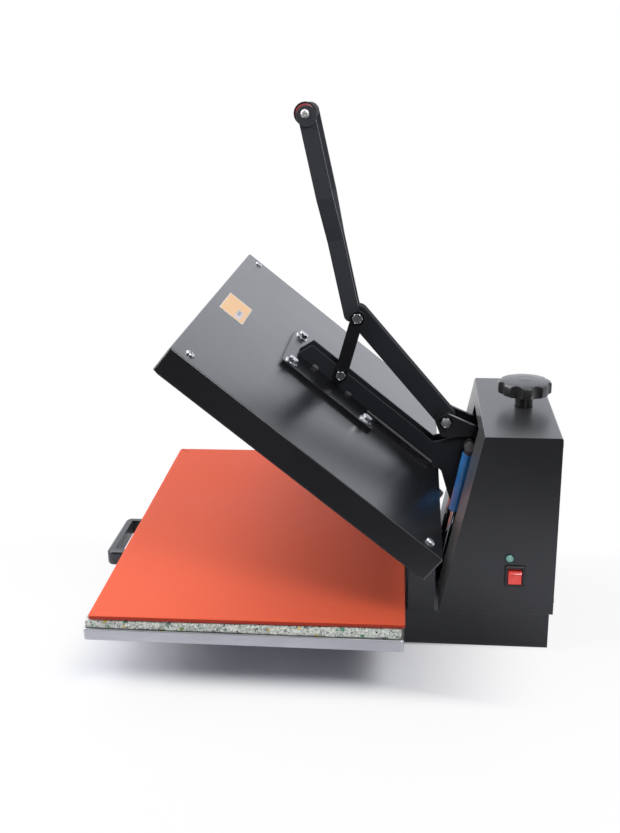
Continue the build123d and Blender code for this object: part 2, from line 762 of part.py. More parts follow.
with BuildPart() as elbow_bolt:
    with BuildSketch(side_plane(elbow, 0, -arm_half_width)):
        Circle(pin_radius)
    extrude(amount=2 * arm_half_width)
finish(elbow_bolt, "elbow_bolt")

# ---- Toggle links --------------------------------------------------------------------------------

for name, side in SIDES:
    with BuildPart() as link_plate:
        with BuildSketch(side_plane(link_pin, link_angle, low_face(side, link_inner, link_thickness))):
            with Locations((link_length / 2, 0)):
                SlotCenterToCenter(link_length, 2 * link_half_width)
            with Locations((0, 0), (link_length, 0)):
                Circle(pin_radius + running_gap, mode=Mode.SUBTRACT)
        extrude(amount=link_thickness)
    finish(link_plate, f"link_plate_{name}")

with BuildPart() as elbow_bolt_heads:
    for _, side in SIDES:
        with BuildSketch(side_plane(elbow, 0, low_face(side, link_inner, link_thickness))):
            Circle(pin_radius)
        extrude(amount=link_thickness)
        with BuildSketch(side_plane(elbow, 0, low_face(side, link_outer, washer_thickness))):
            Circle(washer_radius)
        extrude(amount=washer_thickness)
        head_x = low_face(side, link_outer + washer_thickness, bolt_head_height)
        with BuildSketch(side_plane(elbow, 0, head_x)):
            RegularPolygon(bolt_head_radius, 6)
        extrude(amount=bolt_head_height)
finish(elbow_bolt_heads, "elbow_bolt_heads")

with BuildPart() as link_pivot_bolt:
    with BuildSketch(side_plane(link_pin, 0, -link_outer - face_gap)):
        Circle(pin_radius)
    extrude(amount=2 * (link_outer + face_gap))
    for _, side in SIDES:
        with BuildSketch(side_plane(link_pin, 0, low_face(side, link_outer + face_gap, washer_thickness))):
            Circle(washer_radius)
        extrude(amount=washer_thickness)
        head_x = low_face(side, link_outer + face_gap + washer_thickness, bolt_head_height)
        with BuildSketch(side_plane(link_pin, 0, head_x)):
            RegularPolygon(bolt_head_radius, 6)
        extrude(amount=bolt_head_height)
finish(link_pivot_bolt, "link_pivot_bolt")

# ---- Upper platen --------------------------------------------------------------------------------

housing_mid = upper_depth / 2
platen_normal = Axis((0, 0, 0), (0, sin(radians(open_angle)), cos(radians(open_angle))))
with BuildPart() as platen_housing:
    with BuildSketch(platen_face(-housing_thickness + 2)):
        with Locations((0, housing_mid)):
            RectangleRounded(platen_width, upper_depth, 3)
    extrude(amount=housing_thickness - 2)
    fillet(platen_housing.faces().sort_by(platen_normal)[-1].edges(), 1.8)
    offset(amount=-housing_wall, openings=platen_housing.faces().sort_by(platen_normal)[0])
finish(platen_housing, "platen_housing")

with BuildPart() as heating_plate:
    with BuildSketch(platen_face(-housing_thickness)):
        with Locations((0, housing_mid)):
            RectangleRounded(
                platen_width - 2 * heating_plate_inset, upper_depth - 2 * heating_plate_inset, 6)
    extrude(amount=heating_plate_thickness)
finish(heating_plate, "heating_plate")

with BuildPart() as insulation_blanket:
    with BuildSketch(platen_face(-housing_thickness + heating_plate_thickness + face_gap)):
        with Locations((0, housing_mid)):
            Rectangle(
                platen_width - 2 * housing_wall - 2, upper_depth - 2 * housing_wall - 2)
    extrude(amount=housing_thickness - heating_plate_thickness - housing_wall - 2 * face_gap)
finish(insulation_blanket, "insulation_blanket")

corner_screw_inset = 23.0
corner_screw_spots = [(x, y) for x in (corner_screw_inset - platen_width / 2, platen_width / 2 - corner_screw_inset)
                      for y in (corner_screw_inset, upper_depth - corner_screw_inset + 3)]
with BuildPart() as corner_screws:
    with BuildSketch(platen_face(0)):
        with Locations(corner_screw_spots):
            Circle(6)
    extrude(amount=3.2, taper=20)
finish(corner_screws, "corner_screws")

with BuildPart() as bracket_plate:
    with BuildSketch(platen_face(0)):
        with Locations((0, (bracket_front + bracket_rear) / 2)):
            RectangleRounded(bracket_width, bracket_rear - bracket_front, 5)
    extrude(amount=bracket_thickness)
finish(bracket_plate, "bracket_plate")

bracket_bolt_spots = [(x, y) for x in (-67, 67) for y in (bracket_front + 13, bracket_rear - 14)]
with BuildPart() as bracket_bolts:
    with BuildSketch(platen_face(bracket_thickness)):
        with Locations(bracket_bolt_spots):
            Circle(washer_radius)
    extrude(amount=washer_thickness)
    with BuildSketch(platen_face(bracket_thickness + washer_thickness)):
        with Locations(bracket_bolt_spots):
            RegularPolygon(bolt_head_radius, 6)
    extrude(amount=bolt_head_height)
finish(bracket_bolts, "bracket_bolts")

arm_inner = arm_half_width - arm_wall
with BuildPart() as platen_arm:
    for _, side in SIDES:
        with BuildSketch(platen_side(low_face(side, arm_inner, arm_wall))):
            with BuildLine():
                Polyline(
                    (arm_front, bracket_thickness),
                    (bracket_rear + face_gap, bracket_thickness),
                    (bracket_rear + face_gap, arm_lift),
                    (upper_depth + 1, arm_lift),
                    (upper_depth + 23, -12),
                    (hinge_local[0] - 14, hinge_local[1] - 15),
                    (hinge_local[0] + 10, hinge_local[1] - 8),
                    (hinge_local[0] + 17, hinge_local[1] + 8),
                    (spring_pin_local[0] + 11, spring_pin_local[1] + 4),
                    (spring_pin_local[0] + 2, spring_pin_local[1] + 10),
                    (spring_pin_local[0] - 10, spring_pin_local[1] + 5),
                    (spring_pin_local[0] - 38, arm_top),
                    (arm_front + 8, arm_top),
                    close=True)
            make_face()
            with Locations(hinge_local):
                Circle(hinge_lobe_radius)
            with Locations(link_pin_local):
                Circle(link_half_width - 0.5)
        extrude(amount=arm_wall)
    with BuildSketch(platen_side(-arm_inner)):
        with Locations(((arm_front + bracket_rear) / 2 + 6, bracket_thickness + 2.5)):
            Rectangle(bracket_rear - arm_front - 4, 5)
        with Locations(((bracket_rear + upper_depth) / 2 - 4, arm_lift + 2.5)):
            Rectangle(upper_depth - bracket_rear - 10, 5)
    extrude(amount=2 * arm_inner)
    with BuildSketch(platen_side(-arm_half_width - 6)):
        with Locations(((bracket_rear + upper_depth) / 2, arm_lift + 1.5)):
            Rectangle(upper_depth - bracket_rear - 16, 3)
    extrude(amount=2 * (arm_half_width + 6))
    for spot in (link_pin_local, spring_pin_local):
        with BuildSketch(platen_side(-arm_inner)):
            with Locations(spot):
                Circle(pin_radius + 3)
        extrude(amount=2 * arm_inner)
    with BuildSketch(platen_side(-arm_half_width)):
        with Locations(hinge_local):
            Circle(hinge_shaft_radius + 7)
    extrude(amount=2 * arm_half_width)
    with BuildSketch(platen_side(-arm_half_width)):
        with Locations(hinge_local):
            Circle(hinge_shaft_radius + running_gap)
        with Locations(spring_pin_local):
            Circle(spring_pin_radius + running_gap)
        with Locations(link_pin_local):
            Circle(pin_radius + running_gap)
    extrude(amount=2 * arm_half_width, mode=Mode.SUBTRACT)
finish(platen_arm, "platen_arm")

stud_half = spring_x + spring_eye_thickness / 2 + 3
with BuildPart() as spring_studs:
    with BuildSketch(side_plane(spring_pin, 0, -stud_half)):
        Circle(spring_pin_radius)
    extrude(amount=2 * stud_half)
    for _, side in SIDES:
        with BuildSketch(side_plane(spring_pin, 0, low_face(side, stud_half - 2.4, 2.4))):
            Circle(spring_pin_radius + 2.5)
        extrude(amount=2.4)
        collar = spring_x - spring_eye_thickness / 2 - arm_half_width - 2 * face_gap
        with BuildSketch(side_plane(spring_pin, 0, low_face(side, arm_half_width + face_gap, collar))):
            Circle(spring_pin_radius + 1.5)
        extrude(amount=collar)
finish(spring_studs, "spring_studs")

gland_x = 50.0
gland_axis = Plane(
    origin=(gland_x, *on_platen((upper_depth, -17))), x_dir=(1, 0, 0),
    z_dir=(0, cos(radians(open_angle)), -sin(radians(open_angle))))
with BuildPart() as cable_gland:
    with BuildSketch(gland_axis):
        RegularPolygon(10.5, 6)
    extrude(amount=6)
    with BuildSketch(gland_axis.offset(6)):
        Circle(8.2)
    extrude(amount=10, taper=8)
finish(cable_gland, "cable_gland")

# ---- Gas springs ---------------------------------------------------------------------------------

tube_bore = spring_tube_radius - 1.5
for name, side in SIDES:
    with BuildPart() as spring_tube:
        with BuildSketch(side_plane(spring_pin, spring_angle, low_face(
                side, spring_x - spring_eye_thickness / 2, spring_eye_thickness))):
            Circle(spring_eye_radius)
            with Locations((spring_eye_radius - 1, 0)):
                Rectangle(8, 11)
            Circle(spring_pin_radius + running_gap, mode=Mode.SUBTRACT)
        extrude(amount=spring_eye_thickness)
        tube_start = reach(spring_pin, spring_angle, spring_eye_radius + 3)
        tube_plane = Plane(
            origin=(side * spring_x, *tube_start), x_dir=(1, 0, 0),
            z_dir=(0, cos(radians(spring_angle)), sin(radians(spring_angle))))
        with BuildSketch(tube_plane):
            Circle(spring_tube_radius)
        extrude(amount=spring_tube_length - spring_eye_radius - 3)
        chamfer(spring_tube.edges().filter_by(GeomType.CIRCLE).sort_by(Axis.Z)[0:1], 1.2)
        with BuildSketch(tube_plane.offset(6)):
            Circle(tube_bore)
        extrude(amount=spring_tube_length - spring_eye_radius - 14, mode=Mode.SUBTRACT)
        with BuildSketch(tube_plane.offset(6)):
            Circle(spring_rod_radius + spring_mouth_play)
        extrude(amount=spring_tube_length, mode=Mode.SUBTRACT)
    finish(spring_tube, f"gas_spring_tube_{name}")

    rod_start = reach(spring_foot, spring_angle + 180, spring_eye_radius + 2)
    rod_plane = Plane(
        origin=(side * spring_x, *rod_start), x_dir=(1, 0, 0),
        z_dir=(0, -cos(radians(spring_angle)), -sin(radians(spring_angle))))
    with BuildPart() as spring_rod:
        with BuildSketch(side_plane(spring_foot, spring_angle + 180, low_face(
                side, spring_x - spring_eye_thickness / 2, spring_eye_thickness))):
            Circle(spring_eye_radius - 1)
            with Locations((spring_eye_radius - 1, 0)):
                Rectangle(8, 9)
            Circle(spring_pin_radius + running_gap, mode=Mode.SUBTRACT)
        extrude(amount=spring_eye_thickness)
        with BuildSketch(rod_plane):
            Circle(spring_rod_radius)
        extrude(amount=spring_rod_length - spring_eye_radius - 2)
    finish(spring_rod, f"gas_spring_rod_{name}")

# ---- Drawer: lower plate, pads, carriage and pull handle -------------------------------------------

plate_mid_y = pad_front_y + pad_depth / 2
with BuildPart() as lower_plate:
    with BuildSketch(Plane.XY.offset(plate_bottom)):
        with Locations((0, plate_mid_y)):
            RectangleRounded(platen_width, pad_depth, 4)
    extrude(amount=plate_thickness)
    chamfer(lower_plate.faces().sort_by(Axis.Z)[-1].edges(), 0.8)
finish(lower_plate, "lower_plate")

with BuildPart() as foam_pad:
    with BuildSketch(Plane.XY.offset(plate_top)):
        with Locations((0, plate_mid_y)):
            RectangleRounded(platen_width - 2 * foam_inset, pad_depth - 2 * foam_inset, foam_corner)
    extrude(amount=foam_thickness)
finish(foam_pad, "foam_pad")

with BuildPart() as silicone_pad:
    with BuildSketch(Plane.XY.offset(foam_top)):
        with Locations((0, plate_mid_y)):
            RectangleRounded(platen_width - 2 * silicone_inset, pad_depth - 2 * silicone_inset, pad_corner)
    extrude(amount=silicone_thickness)
finish(silicone_pad, "silicone_pad")

apron_thickness = 6.0
runner_width = rail_width + 2 * face_gap + 10
runner_top = base_top + rail_height + face_gap + 5
runner_length = pad_depth - 16
cross_length = 470.0
with BuildPart() as drawer_carriage:
    with BuildSketch(Plane.XZ.offset(-(pad_front_y + apron_thickness))):
        for _, side in SIDES:
            with Locations((side * rail_x, (base_top + 3 + runner_top) / 2)):
                Rectangle(runner_width, runner_top - base_top - 3)
            with Locations((side * rail_x, base_top)):
                Rectangle(
                    rail_width + 2 * face_gap, 2 * (rail_height + face_gap), mode=Mode.SUBTRACT)
    extrude(amount=-runner_length)
    for y in (pad_front_y + 70, pad_rear_y - 60):
        with BuildSketch(side_plane((0, 0), 0, -cross_length / 2)):
            with Locations((y, (runner_top + plate_bottom) / 2)):
                Rectangle(34, plate_bottom - runner_top)
                Rectangle(28, plate_bottom - runner_top - 6, mode=Mode.SUBTRACT)
        extrude(amount=cross_length)
    with BuildSketch(Plane.XZ.offset(-pad_front_y)):
        with Locations((0, (base_top + 4 + plate_bottom) / 2)):
            Rectangle(2 * rail_x + runner_width, plate_bottom - base_top - 4)
    extrude(amount=-apron_thickness)
finish(drawer_carriage, "drawer_carriage")

handle_low = plate_bottom - drawer_handle_height + 3.5
with BuildPart() as pull_handle:
    with BuildSketch(Plane.XY.offset(handle_low)):
        with Locations((0, pad_front_y - drawer_handle_reach / 2)):
            Rectangle(drawer_handle_width, drawer_handle_reach)
        with Locations((0, pad_front_y - drawer_handle_reach / 2 + drawer_handle_bar / 2)):
            Rectangle(
                drawer_handle_width - 2 * drawer_handle_bar, drawer_handle_reach - drawer_handle_bar,
                mode=Mode.SUBTRACT)
    extrude(amount=drawer_handle_height)
    fillet(pull_handle.edges().filter_by(Axis.Z).group_by(Axis.Y)[0], 10)
    fillet(pull_handle.faces().sort_by(Axis.Y)[0].edges().filter_by(Axis.X), 4)
finish(pull_handle, "pull_handle")

handle_screw_x = (drawer_handle_width - drawer_handle_bar) / 2
with BuildPart() as handle_screws:
    with BuildSketch(Plane.XZ.offset(-(pad_front_y + apron_thickness))):
        with Locations((-handle_screw_x, handle_low + 10), (handle_screw_x, handle_low + 10)):
            Circle(4)
    extrude(amount=-3)
finish(handle_screws, "handle_screws")
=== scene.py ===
from math import cos, pi, radians, sin

import bmesh
import bpy
from mathutils import Matrix, Vector


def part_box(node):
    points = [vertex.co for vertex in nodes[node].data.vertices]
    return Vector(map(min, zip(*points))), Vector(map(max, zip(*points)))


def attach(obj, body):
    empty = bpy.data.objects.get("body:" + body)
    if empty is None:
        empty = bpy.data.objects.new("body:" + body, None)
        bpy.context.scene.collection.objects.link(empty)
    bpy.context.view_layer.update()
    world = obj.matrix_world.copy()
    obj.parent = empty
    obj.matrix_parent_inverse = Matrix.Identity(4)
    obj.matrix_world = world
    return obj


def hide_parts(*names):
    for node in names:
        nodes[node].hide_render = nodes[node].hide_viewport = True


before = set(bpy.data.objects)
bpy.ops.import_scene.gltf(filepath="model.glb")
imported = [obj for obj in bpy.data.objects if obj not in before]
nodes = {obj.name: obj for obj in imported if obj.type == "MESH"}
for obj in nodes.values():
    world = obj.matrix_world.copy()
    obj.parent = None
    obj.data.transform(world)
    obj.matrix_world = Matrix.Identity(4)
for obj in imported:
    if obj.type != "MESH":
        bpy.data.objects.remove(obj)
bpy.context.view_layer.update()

# ---- Studio: camera, table top, backdrop and lamps ------------------------------------------------
# The press stands on a pale table in front of a white sweep. The camera looks along the length of
# the platens from the operator's right, a little above the tower, with soft boxes overhead.

scene = bpy.context.scene
scene.view_settings.view_transform = "Standard"

camera_x, camera_y, camera_z = 1.4429, 0.1249, 0.7802
yaw, pitch, roll = 0.10171, 0.31487, -0.0145
sensor, picture_height, focal_pixels = 36.0, 833, 1064.15
forward = Vector((-cos(yaw) * cos(pitch), -sin(yaw) * cos(pitch), -sin(pitch)))
level_right = Vector((-sin(yaw), cos(yaw), 0.0))
level_up = level_right.cross(forward)
view_right = cos(roll) * level_right + sin(roll) * level_up
view_up = -sin(roll) * level_right + cos(roll) * level_up
lens = bpy.data.cameras.new("studio_camera")
lens.sensor_width = sensor
lens.lens = focal_pixels * sensor / picture_height
lens.shift_y = -0.01625
lens.clip_start = 0.05
camera = bpy.data.objects.new("studio_camera", lens)
scene.collection.objects.link(camera)
camera.matrix_world = Matrix((
    (view_right.x, view_up.x, -forward.x, camera_x),
    (view_right.y, view_up.y, -forward.y, camera_y),
    (view_right.z, view_up.z, -forward.z, camera_z),
    (0, 0, 0, 1)))
scene.camera = camera


class Graph:
    """A node tree. What a socket is given is a constant, or another socket to link it with."""

    def __init__(self, tree):
        self.tree = tree

    def put(self, socket, value):
        if isinstance(value, bpy.types.NodeSocket):
            self.tree.links.new(value, socket)
        elif socket.type == "RGBA":
            socket.default_value = (*value, 1)
        else:
            socket.default_value = value

    def fill(self, sockets, values):
        for key, value in values.items():
            self.put(sockets[key.replace("_", " ")], value)

    def add(self, kind, *given, settings=None, **values):
        """Makes a node, fills its first inputs in order and others by name, and returns its outputs."""
        node = self.tree.nodes.new("ShaderNode" + kind)
        for key, value in (settings or {}).items():
            setattr(node, key, value)
        for socket, value in zip(node.inputs, given):
            self.put(socket, value)
        self.fill(node.inputs, values)
        return node.outputs

    def here(self):
        return self.add("TexCoord")["Object"]

    def math(self, operation, *given):
        return self.add("Math", *given, settings={"operation": operation})[0]

    def vector(self, operation, *given):
        return self.add("VectorMath", *given, settings={"operation": operation})

    def band(self, value, start, end, low=0.0, high=1.0, **settings):
        """Turns start..end into low..high."""
        return self.add("MapRange", value, start, end, low, high, settings=settings)[0]

    def soft_band(self, *given):
        return self.band(*given, interpolation_type="SMOOTHSTEP")

    def noise(self, place, size, detail, **values):
        return self.add("TexNoise", Vector=place, Scale=size, Detail=detail, **values)["Fac"]

    def mix(self, factor, a, b, **settings):
        """Mixes two colours."""
        return self.add("Mix", Factor=factor, A=a, B=b, settings={"data_type": "RGBA", **settings})["Result"]

    def choose(self, factor, a, b):
        """Mixes two shaders."""
        return self.add("MixShader", factor, a, b)[0]


class Finish(Graph):
    """A node material: paint is its Principled shader, and shade fills that shader's sockets."""

    def __init__(self, name):
        self.material = bpy.data.materials.new(name)
        self.material.use_nodes = True
        super().__init__(self.material.node_tree)
        self.paint = self.tree.nodes["Principled BSDF"]

    def group(self, effect, **values):
        node = self.tree.nodes.new("ShaderNodeGroup")
        node.node_tree = effect.tree
        self.fill(node.inputs, values)
        return node.outputs

    def shade(self, **values):
        self.fill(self.paint.inputs, values)
        return self


def deselect():
    if bpy.context.object and bpy.context.object.mode != "OBJECT":
        bpy.ops.object.mode_set(mode="OBJECT")
    bpy.ops.object.select_all(action="DESELECT")


deselect()
bpy.ops.mesh.primitive_plane_add(size=16, location=(0, 0, 0))
table_top = bpy.context.object
table_top.name = "table_top"
bpy.ops.object.mode_set(mode="EDIT")
bpy.ops.mesh.subdivide(number_cuts=3)
bpy.ops.object.mode_set(mode="OBJECT")

# The table fades to flat white away from the press, and mirrors see it end towards the camera.
table = Finish("table_white").shade(Base_Color=(0.72, 0.72, 0.72), Roughness=0.9, Specular_IOR_Level=0.1)
shaded_white = table.add("BsdfDiffuse", (0.87, 0.875, 0.925), 0.5)[0]
flat_white = table.add("Emission", (1, 1, 1), 1.0)[0]
dim_room = table.add("Emission", (1, 1, 1), 0.10)[0]
spot = table.here()
towards = table.add("SeparateXYZ", spot)
far_off = table.soft_band(table.vector("LENGTH", spot)["Value"], 0.60, 1.3)
faded = far_off
for axis, start, end, most in (
        ("X", 0.216, 0.284, 0.88), ("X", 0.06, -0.20, 1.0), ("Y", -0.27, -0.36, 0.88), ("Y", 0.02, 0.32, 0.88)):
    faded = table.math("MAXIMUM", faded, table.soft_band(towards[axis], start, end, 0.0, most))
rays = table.add("LightPath")
by_camera = table.choose(
    rays["Is Camera Ray"], table.paint.outputs[0], table.choose(faded, shaded_white, flat_white))
by_mirror = table.choose(
    table.soft_band(towards["X"], 0.38, 0.80), table.choose(far_off, shaded_white, flat_white), dim_room)
mirrored = table.math("MAXIMUM", rays["Is Glossy Ray"], rays["Is Transmission Ray"])
table.put(table.tree.nodes["Material Output"].inputs[0], table.choose(mirrored, by_camera, by_mirror))
table_top.data.materials.append(table.material)

# The sweep is bright behind the press, and the room on the camera's side is dim.
world = bpy.data.worlds.new("white_sweep")
scene.world = world
world.use_nodes = True
world.node_tree.nodes.clear()
sky = Graph(world.node_tree)
towards = sky.add("SeparateXYZ", sky.add("TexCoord")["Generated"])["X"]
backdrop = sky.add("Background", (1, 1, 1))[0]
sweep = sky.add("Background", (0.90, 0.93, 1.0), sky.soft_band(towards, -0.15, 0.55, 1.0, 0.10))[0]
room = sky.add("Background", (0.94, 0.96, 1.0), sky.soft_band(towards, -0.15, 0.55, 0.42, 0.12))[0]
rays = sky.add("LightPath")
mirrored = sky.math("MAXIMUM", rays["Is Glossy Ray"], rays["Is Transmission Ray"])
sky.add("OutputWorld", sky.choose(rays["Is Camera Ray"], sky.choose(mirrored, room, sweep), backdrop))

lit_spot = Vector((0, -0.1, 0.1))
for name, place, size, power in (
        ("key_box", (1.32, 0.80, 1.65), (0.7, 0.7), 17.5), ("front_box", (0.77, -1.79, 1.27), (0.7, 0.7), 14),
        ("overhead_box", (-0.4, -1.1, 2.3), (2.4, 2.0), 41.5)):
    lamp = bpy.data.lights.new(name, "AREA")
    lamp.shape = "RECTANGLE"
    lamp.size, lamp.size_y = size
    lamp.energy = power
    holder = bpy.data.objects.new(name, lamp)
    scene.collection.objects.link(holder)
    holder.location = place
    holder.rotation_euler = (lit_spot - Vector(place)).to_track_quat("-Z", "Y").to_euler()

# ---- Base and rear riser --------------------------------------------------------------------------
# Trays folded from 2 mm sheet steel and spot-welded at the corners, open below and closed by a flat
# plate. They are sprayed with a fine-grained satin black powder and baked, so the folds are soft.


class Effect(Graph):
    """A node group. What it takes starts at a number, or is a vector where that is None."""

    def __init__(self, name, takes, gives):
        super().__init__(bpy.data.node_groups.new(name, "ShaderNodeTree"))
        sockets = self.tree.interface
        for label, start in takes.items():
            kind = "NodeSocketVector" if start is None else "NodeSocketFloat"
            socket = sockets.new_socket(name=label, in_out="INPUT", socket_type=kind)
            if start is not None:
                socket.default_value = start
        for label in gives:
            kind = "NodeSocketVector" if label == "Normal" else "NodeSocketFloat"
            sockets.new_socket(name=label, in_out="OUTPUT", socket_type=kind)
        self.given = self.tree.nodes.new("NodeGroupInput").outputs
        self.out = self.tree.nodes.new("NodeGroupOutput").inputs

    def give(self, **values):
        self.fill(self.out, values)


# Rubbed edges: folds and corners are where paint thins, so they get a rounder normal and a mask.
rubbed_edge = Effect("rubbed_edge", {"Radius": 0.001, "Patch Size": 60.0, "Amount": 0.5}, ("Mask", "Normal"))
given = rubbed_edge.given
rounded = rubbed_edge.add("Bevel", settings={"samples": 6}, Radius=given["Radius"])["Normal"]
alike = rubbed_edge.vector("DOT_PRODUCT", rounded, rubbed_edge.add("NewGeometry")["Normal"])["Value"]
patches = rubbed_edge.noise(rubbed_edge.here(), given["Patch Size"], 4.0)
worn = rubbed_edge.math(
    "MULTIPLY", rubbed_edge.band(alike, 0.995, 0.80), rubbed_edge.band(patches, 0.38, 0.68))
rubbed_edge.give(Mask=rubbed_edge.math("MULTIPLY", worn, given["Amount"]), Normal=rounded)

# Sprayed grain: the orange-peel of a baked powder, with a slow drift in tone and gloss.
sprayed_grain = Effect(
    "sprayed_grain", {"Grain Size": 900.0, "Depth": 0.2, "Drift Size": 7.0, "Normal": None}, ("Drift", "Normal"))
given = sprayed_grain.given
peel = sprayed_grain.noise(sprayed_grain.here(), given["Grain Size"], 3.0, Roughness=0.6)
raised = sprayed_grain.add(
    "Bump", Strength=given["Depth"], Distance=0.0004, Height=peel, Normal=given["Normal"])["Normal"]
sprayed_grain.give(Drift=sprayed_grain.noise(sprayed_grain.here(), given["Drift Size"], 3.0), Normal=raised)


def painted_steel(name, dark, light, worn, gloss, grain, depth, edge, wear):
    """Paint over steel: two tones that drift, a gloss range, a grain, and rubbed edges."""
    made = Finish(name)
    rub = made.group(rubbed_edge, Radius=edge, Patch_Size=55.0, Amount=wear)
    spray = made.group(sprayed_grain, Grain_Size=grain, Depth=depth, Drift_Size=6.0, Normal=rub["Normal"])
    tones = made.mix(made.band(spray["Drift"], 0.35, 0.65), dark, light)
    return made.shade(
        Base_Color=made.mix(rub["Mask"], tones, worn), Roughness=made.band(spray["Drift"], 0.3, 0.7, *gloss),
        Normal=spray["Normal"])


def coat(made, *names):
    """Gives CAD nodes or new pieces their finish."""
    for name in names:
        piece = nodes[name] if isinstance(name, str) else name
        piece.data.materials.clear()
        piece.data.materials.append(made.material)


powder_coat = painted_steel(
    "powder_coat", (0.0080, 0.0084, 0.0108), (0.0122, 0.0128, 0.0164), (0.075, 0.077, 0.085),
    gloss=(0.26, 0.34), grain=850.0, depth=0.12, edge=0.0011, wear=0.5)
powder_coat.shade(
    Specular_IOR_Level=0.45, Coat_Weight=0.6, Coat_Roughness=0.30, Sheen_Weight=0.3, Sheen_Roughness=0.35)
coat(powder_coat, "base_frame", "base_bottom_plate", "rear_riser")

# ---- Feet -----------------------------------------------------------------------------------------
# Four moulded rubber feet, their stems pushed through holes in the bottom plate. They are matt, worn
# round at the rims and a little chalky with dust.

# Fine pits: the skin of moulded rubber and plastic, as a small bump and a chalky mask.
moulded_skin = Effect(
    "moulded_skin", {"Pit Size": 1400.0, "Depth": 0.2, "Chalk Size": 40.0, "Normal": None}, ("Chalk", "Normal"))
given = moulded_skin.given
pits = moulded_skin.add("TexVoronoi", Vector=moulded_skin.here(), Scale=given["Pit Size"])["Distance"]
pitted = moulded_skin.add(
    "Bump", Strength=given["Depth"], Distance=0.0003, Height=pits, Normal=given["Normal"])["Normal"]
chalk = moulded_skin.noise(moulded_skin.here(), given["Chalk Size"], 5.0)
moulded_skin.give(Chalk=moulded_skin.band(chalk, 0.42, 0.72), Normal=pitted)


def moulding(name, colour, chalky, gloss, pit, depth, edge=0.0006):
    """A moulded rubber or plastic: its colour, the same gone chalky, a gloss range and a fine skin."""
    made = Finish(name)
    rub = made.group(rubbed_edge, Radius=edge, Patch_Size=90.0, Amount=0.25)
    skin = made.group(moulded_skin, Pit_Size=pit, Depth=depth, Chalk_Size=45.0, Normal=rub["Normal"])
    return made.shade(
        Base_Color=made.mix(made.math("MAXIMUM", rub["Mask"], skin["Chalk"]), colour, chalky),
        Roughness=made.band(skin["Chalk"], 0.0, 1.0, *gloss), Normal=skin["Normal"])


foot_rubber = moulding(
    "foot_rubber", (0.012, 0.012, 0.012), (0.035, 0.034, 0.032), gloss=(0.6, 0.8), pit=1500.0, depth=0.3)
coat(foot_rubber, "rubber_feet")

# ---- Drawer rails ---------------------------------------------------------------------------------
# Two rounded tubes of zinc-plated steel along the base's top, drawn to size and bright from the
# runners that slide on them.

# Drawn lines: the fine streaks that brushing, drawing or rubbing leaves along one direction.
drawn_lines = Effect(
    "drawn_lines", {"Vector": None, "Line Size": 400.0, "Depth": 0.15, "Normal": None},
    ("Line", "Blotch", "Normal"))
given = drawn_lines.given
line = drawn_lines.noise(given["Vector"], given["Line Size"], 4.0, Roughness=0.7)
scored = drawn_lines.add(
    "Bump", Strength=given["Depth"], Distance=0.0003, Height=line, Normal=given["Normal"])["Normal"]
drawn_lines.give(Line=line, Blotch=drawn_lines.noise(drawn_lines.here(), 22.0, 4.0), Normal=scored)


def bare_metal(name, dull, bright, gloss, size, depth, stretch=(1, 1, 1), edge=0.0005):
    """Bare or plated metal, with lines drawn along the axis whose stretch is smallest."""
    made = Finish(name)
    rub = made.group(rubbed_edge, Radius=edge, Patch_Size=120.0, Amount=0.5)
    along = made.add("Mapping", Vector=made.here(), Scale=stretch)[0]
    lines = made.group(drawn_lines, Vector=along, Line_Size=size, Depth=depth, Normal=rub["Normal"])
    return made.shade(
        Base_Color=made.mix(made.band(lines["Line"], 0.3, 0.7), dull, bright),
        Roughness=made.band(lines["Blotch"], 0.3, 0.7, *gloss), Normal=lines["Normal"], Metallic=1.0)


bright_zinc = bare_metal(
    "bright_zinc", (0.52, 0.53, 0.55), (0.74, 0.75, 0.77), gloss=(0.20, 0.34), size=260.0, depth=0.10)
drawn_zinc = bare_metal(
    "drawn_zinc", (0.50, 0.51, 0.53), (0.70, 0.71, 0.73), gloss=(0.24, 0.40), size=700.0, depth=0.18,
    stretch=(1, 0.03, 1))
coat(drawn_zinc, "slide_rails")

# ---- Tower frame ----------------------------------------------------------------------------------
# Two 6 mm plates welded to foot strips and a tie plate carry the platen's hinge shaft. Plates are
# flame cut, ground and painted a smoother black than the sheet metal; shaft and pins stay bright.

black_paint = painted_steel(
    "black_paint", (0.0066, 0.0069, 0.0084), (0.0106, 0.0111, 0.0134), (0.10, 0.10, 0.105), gloss=(0.20, 0.30),
    grain=500.0, depth=0.12, edge=0.0009, wear=0.5).shade(Coat_Weight=0.4, Coat_Roughness=0.2)
coat(black_paint, "tower_plate_right", "tower_plate_left", "tower_flanges", "tower_tie_plate", "spring_feet")
coat(bright_zinc, "hinge_shaft")

# ---- Tower cover ----------------------------------------------------------------------------------
# A hood of 2 mm sheet, folded, with its front leaning back, its seams welded and ground, slots for
# air in the back and holes for the switch, lamp and controller. Same powder as the base.

coat(powder_coat, "rear_cover")


def take(piece, *others):
    """Makes a piece the active one, and selects it and any others."""
    deselect()
    bpy.context.view_layer.objects.active = piece
    for one in (piece, *others):
        one.select_set(True)


def tidy(piece, smooth=None, weld=0.000005):
    """Sets a piece's place into its mesh, and its normals outward."""
    take(piece)
    bpy.ops.object.transform_apply(location=True, rotation=True, scale=True)
    bpy.ops.object.mode_set(mode="EDIT")
    bpy.ops.mesh.select_all(action="SELECT")
    bpy.ops.mesh.remove_doubles(threshold=weld)
    bpy.ops.mesh.normals_make_consistent(inside=False)
    bpy.ops.object.mode_set(mode="OBJECT")
    if smooth is not None:
        bpy.ops.object.shade_smooth_by_angle(angle=radians(smooth))
    return piece


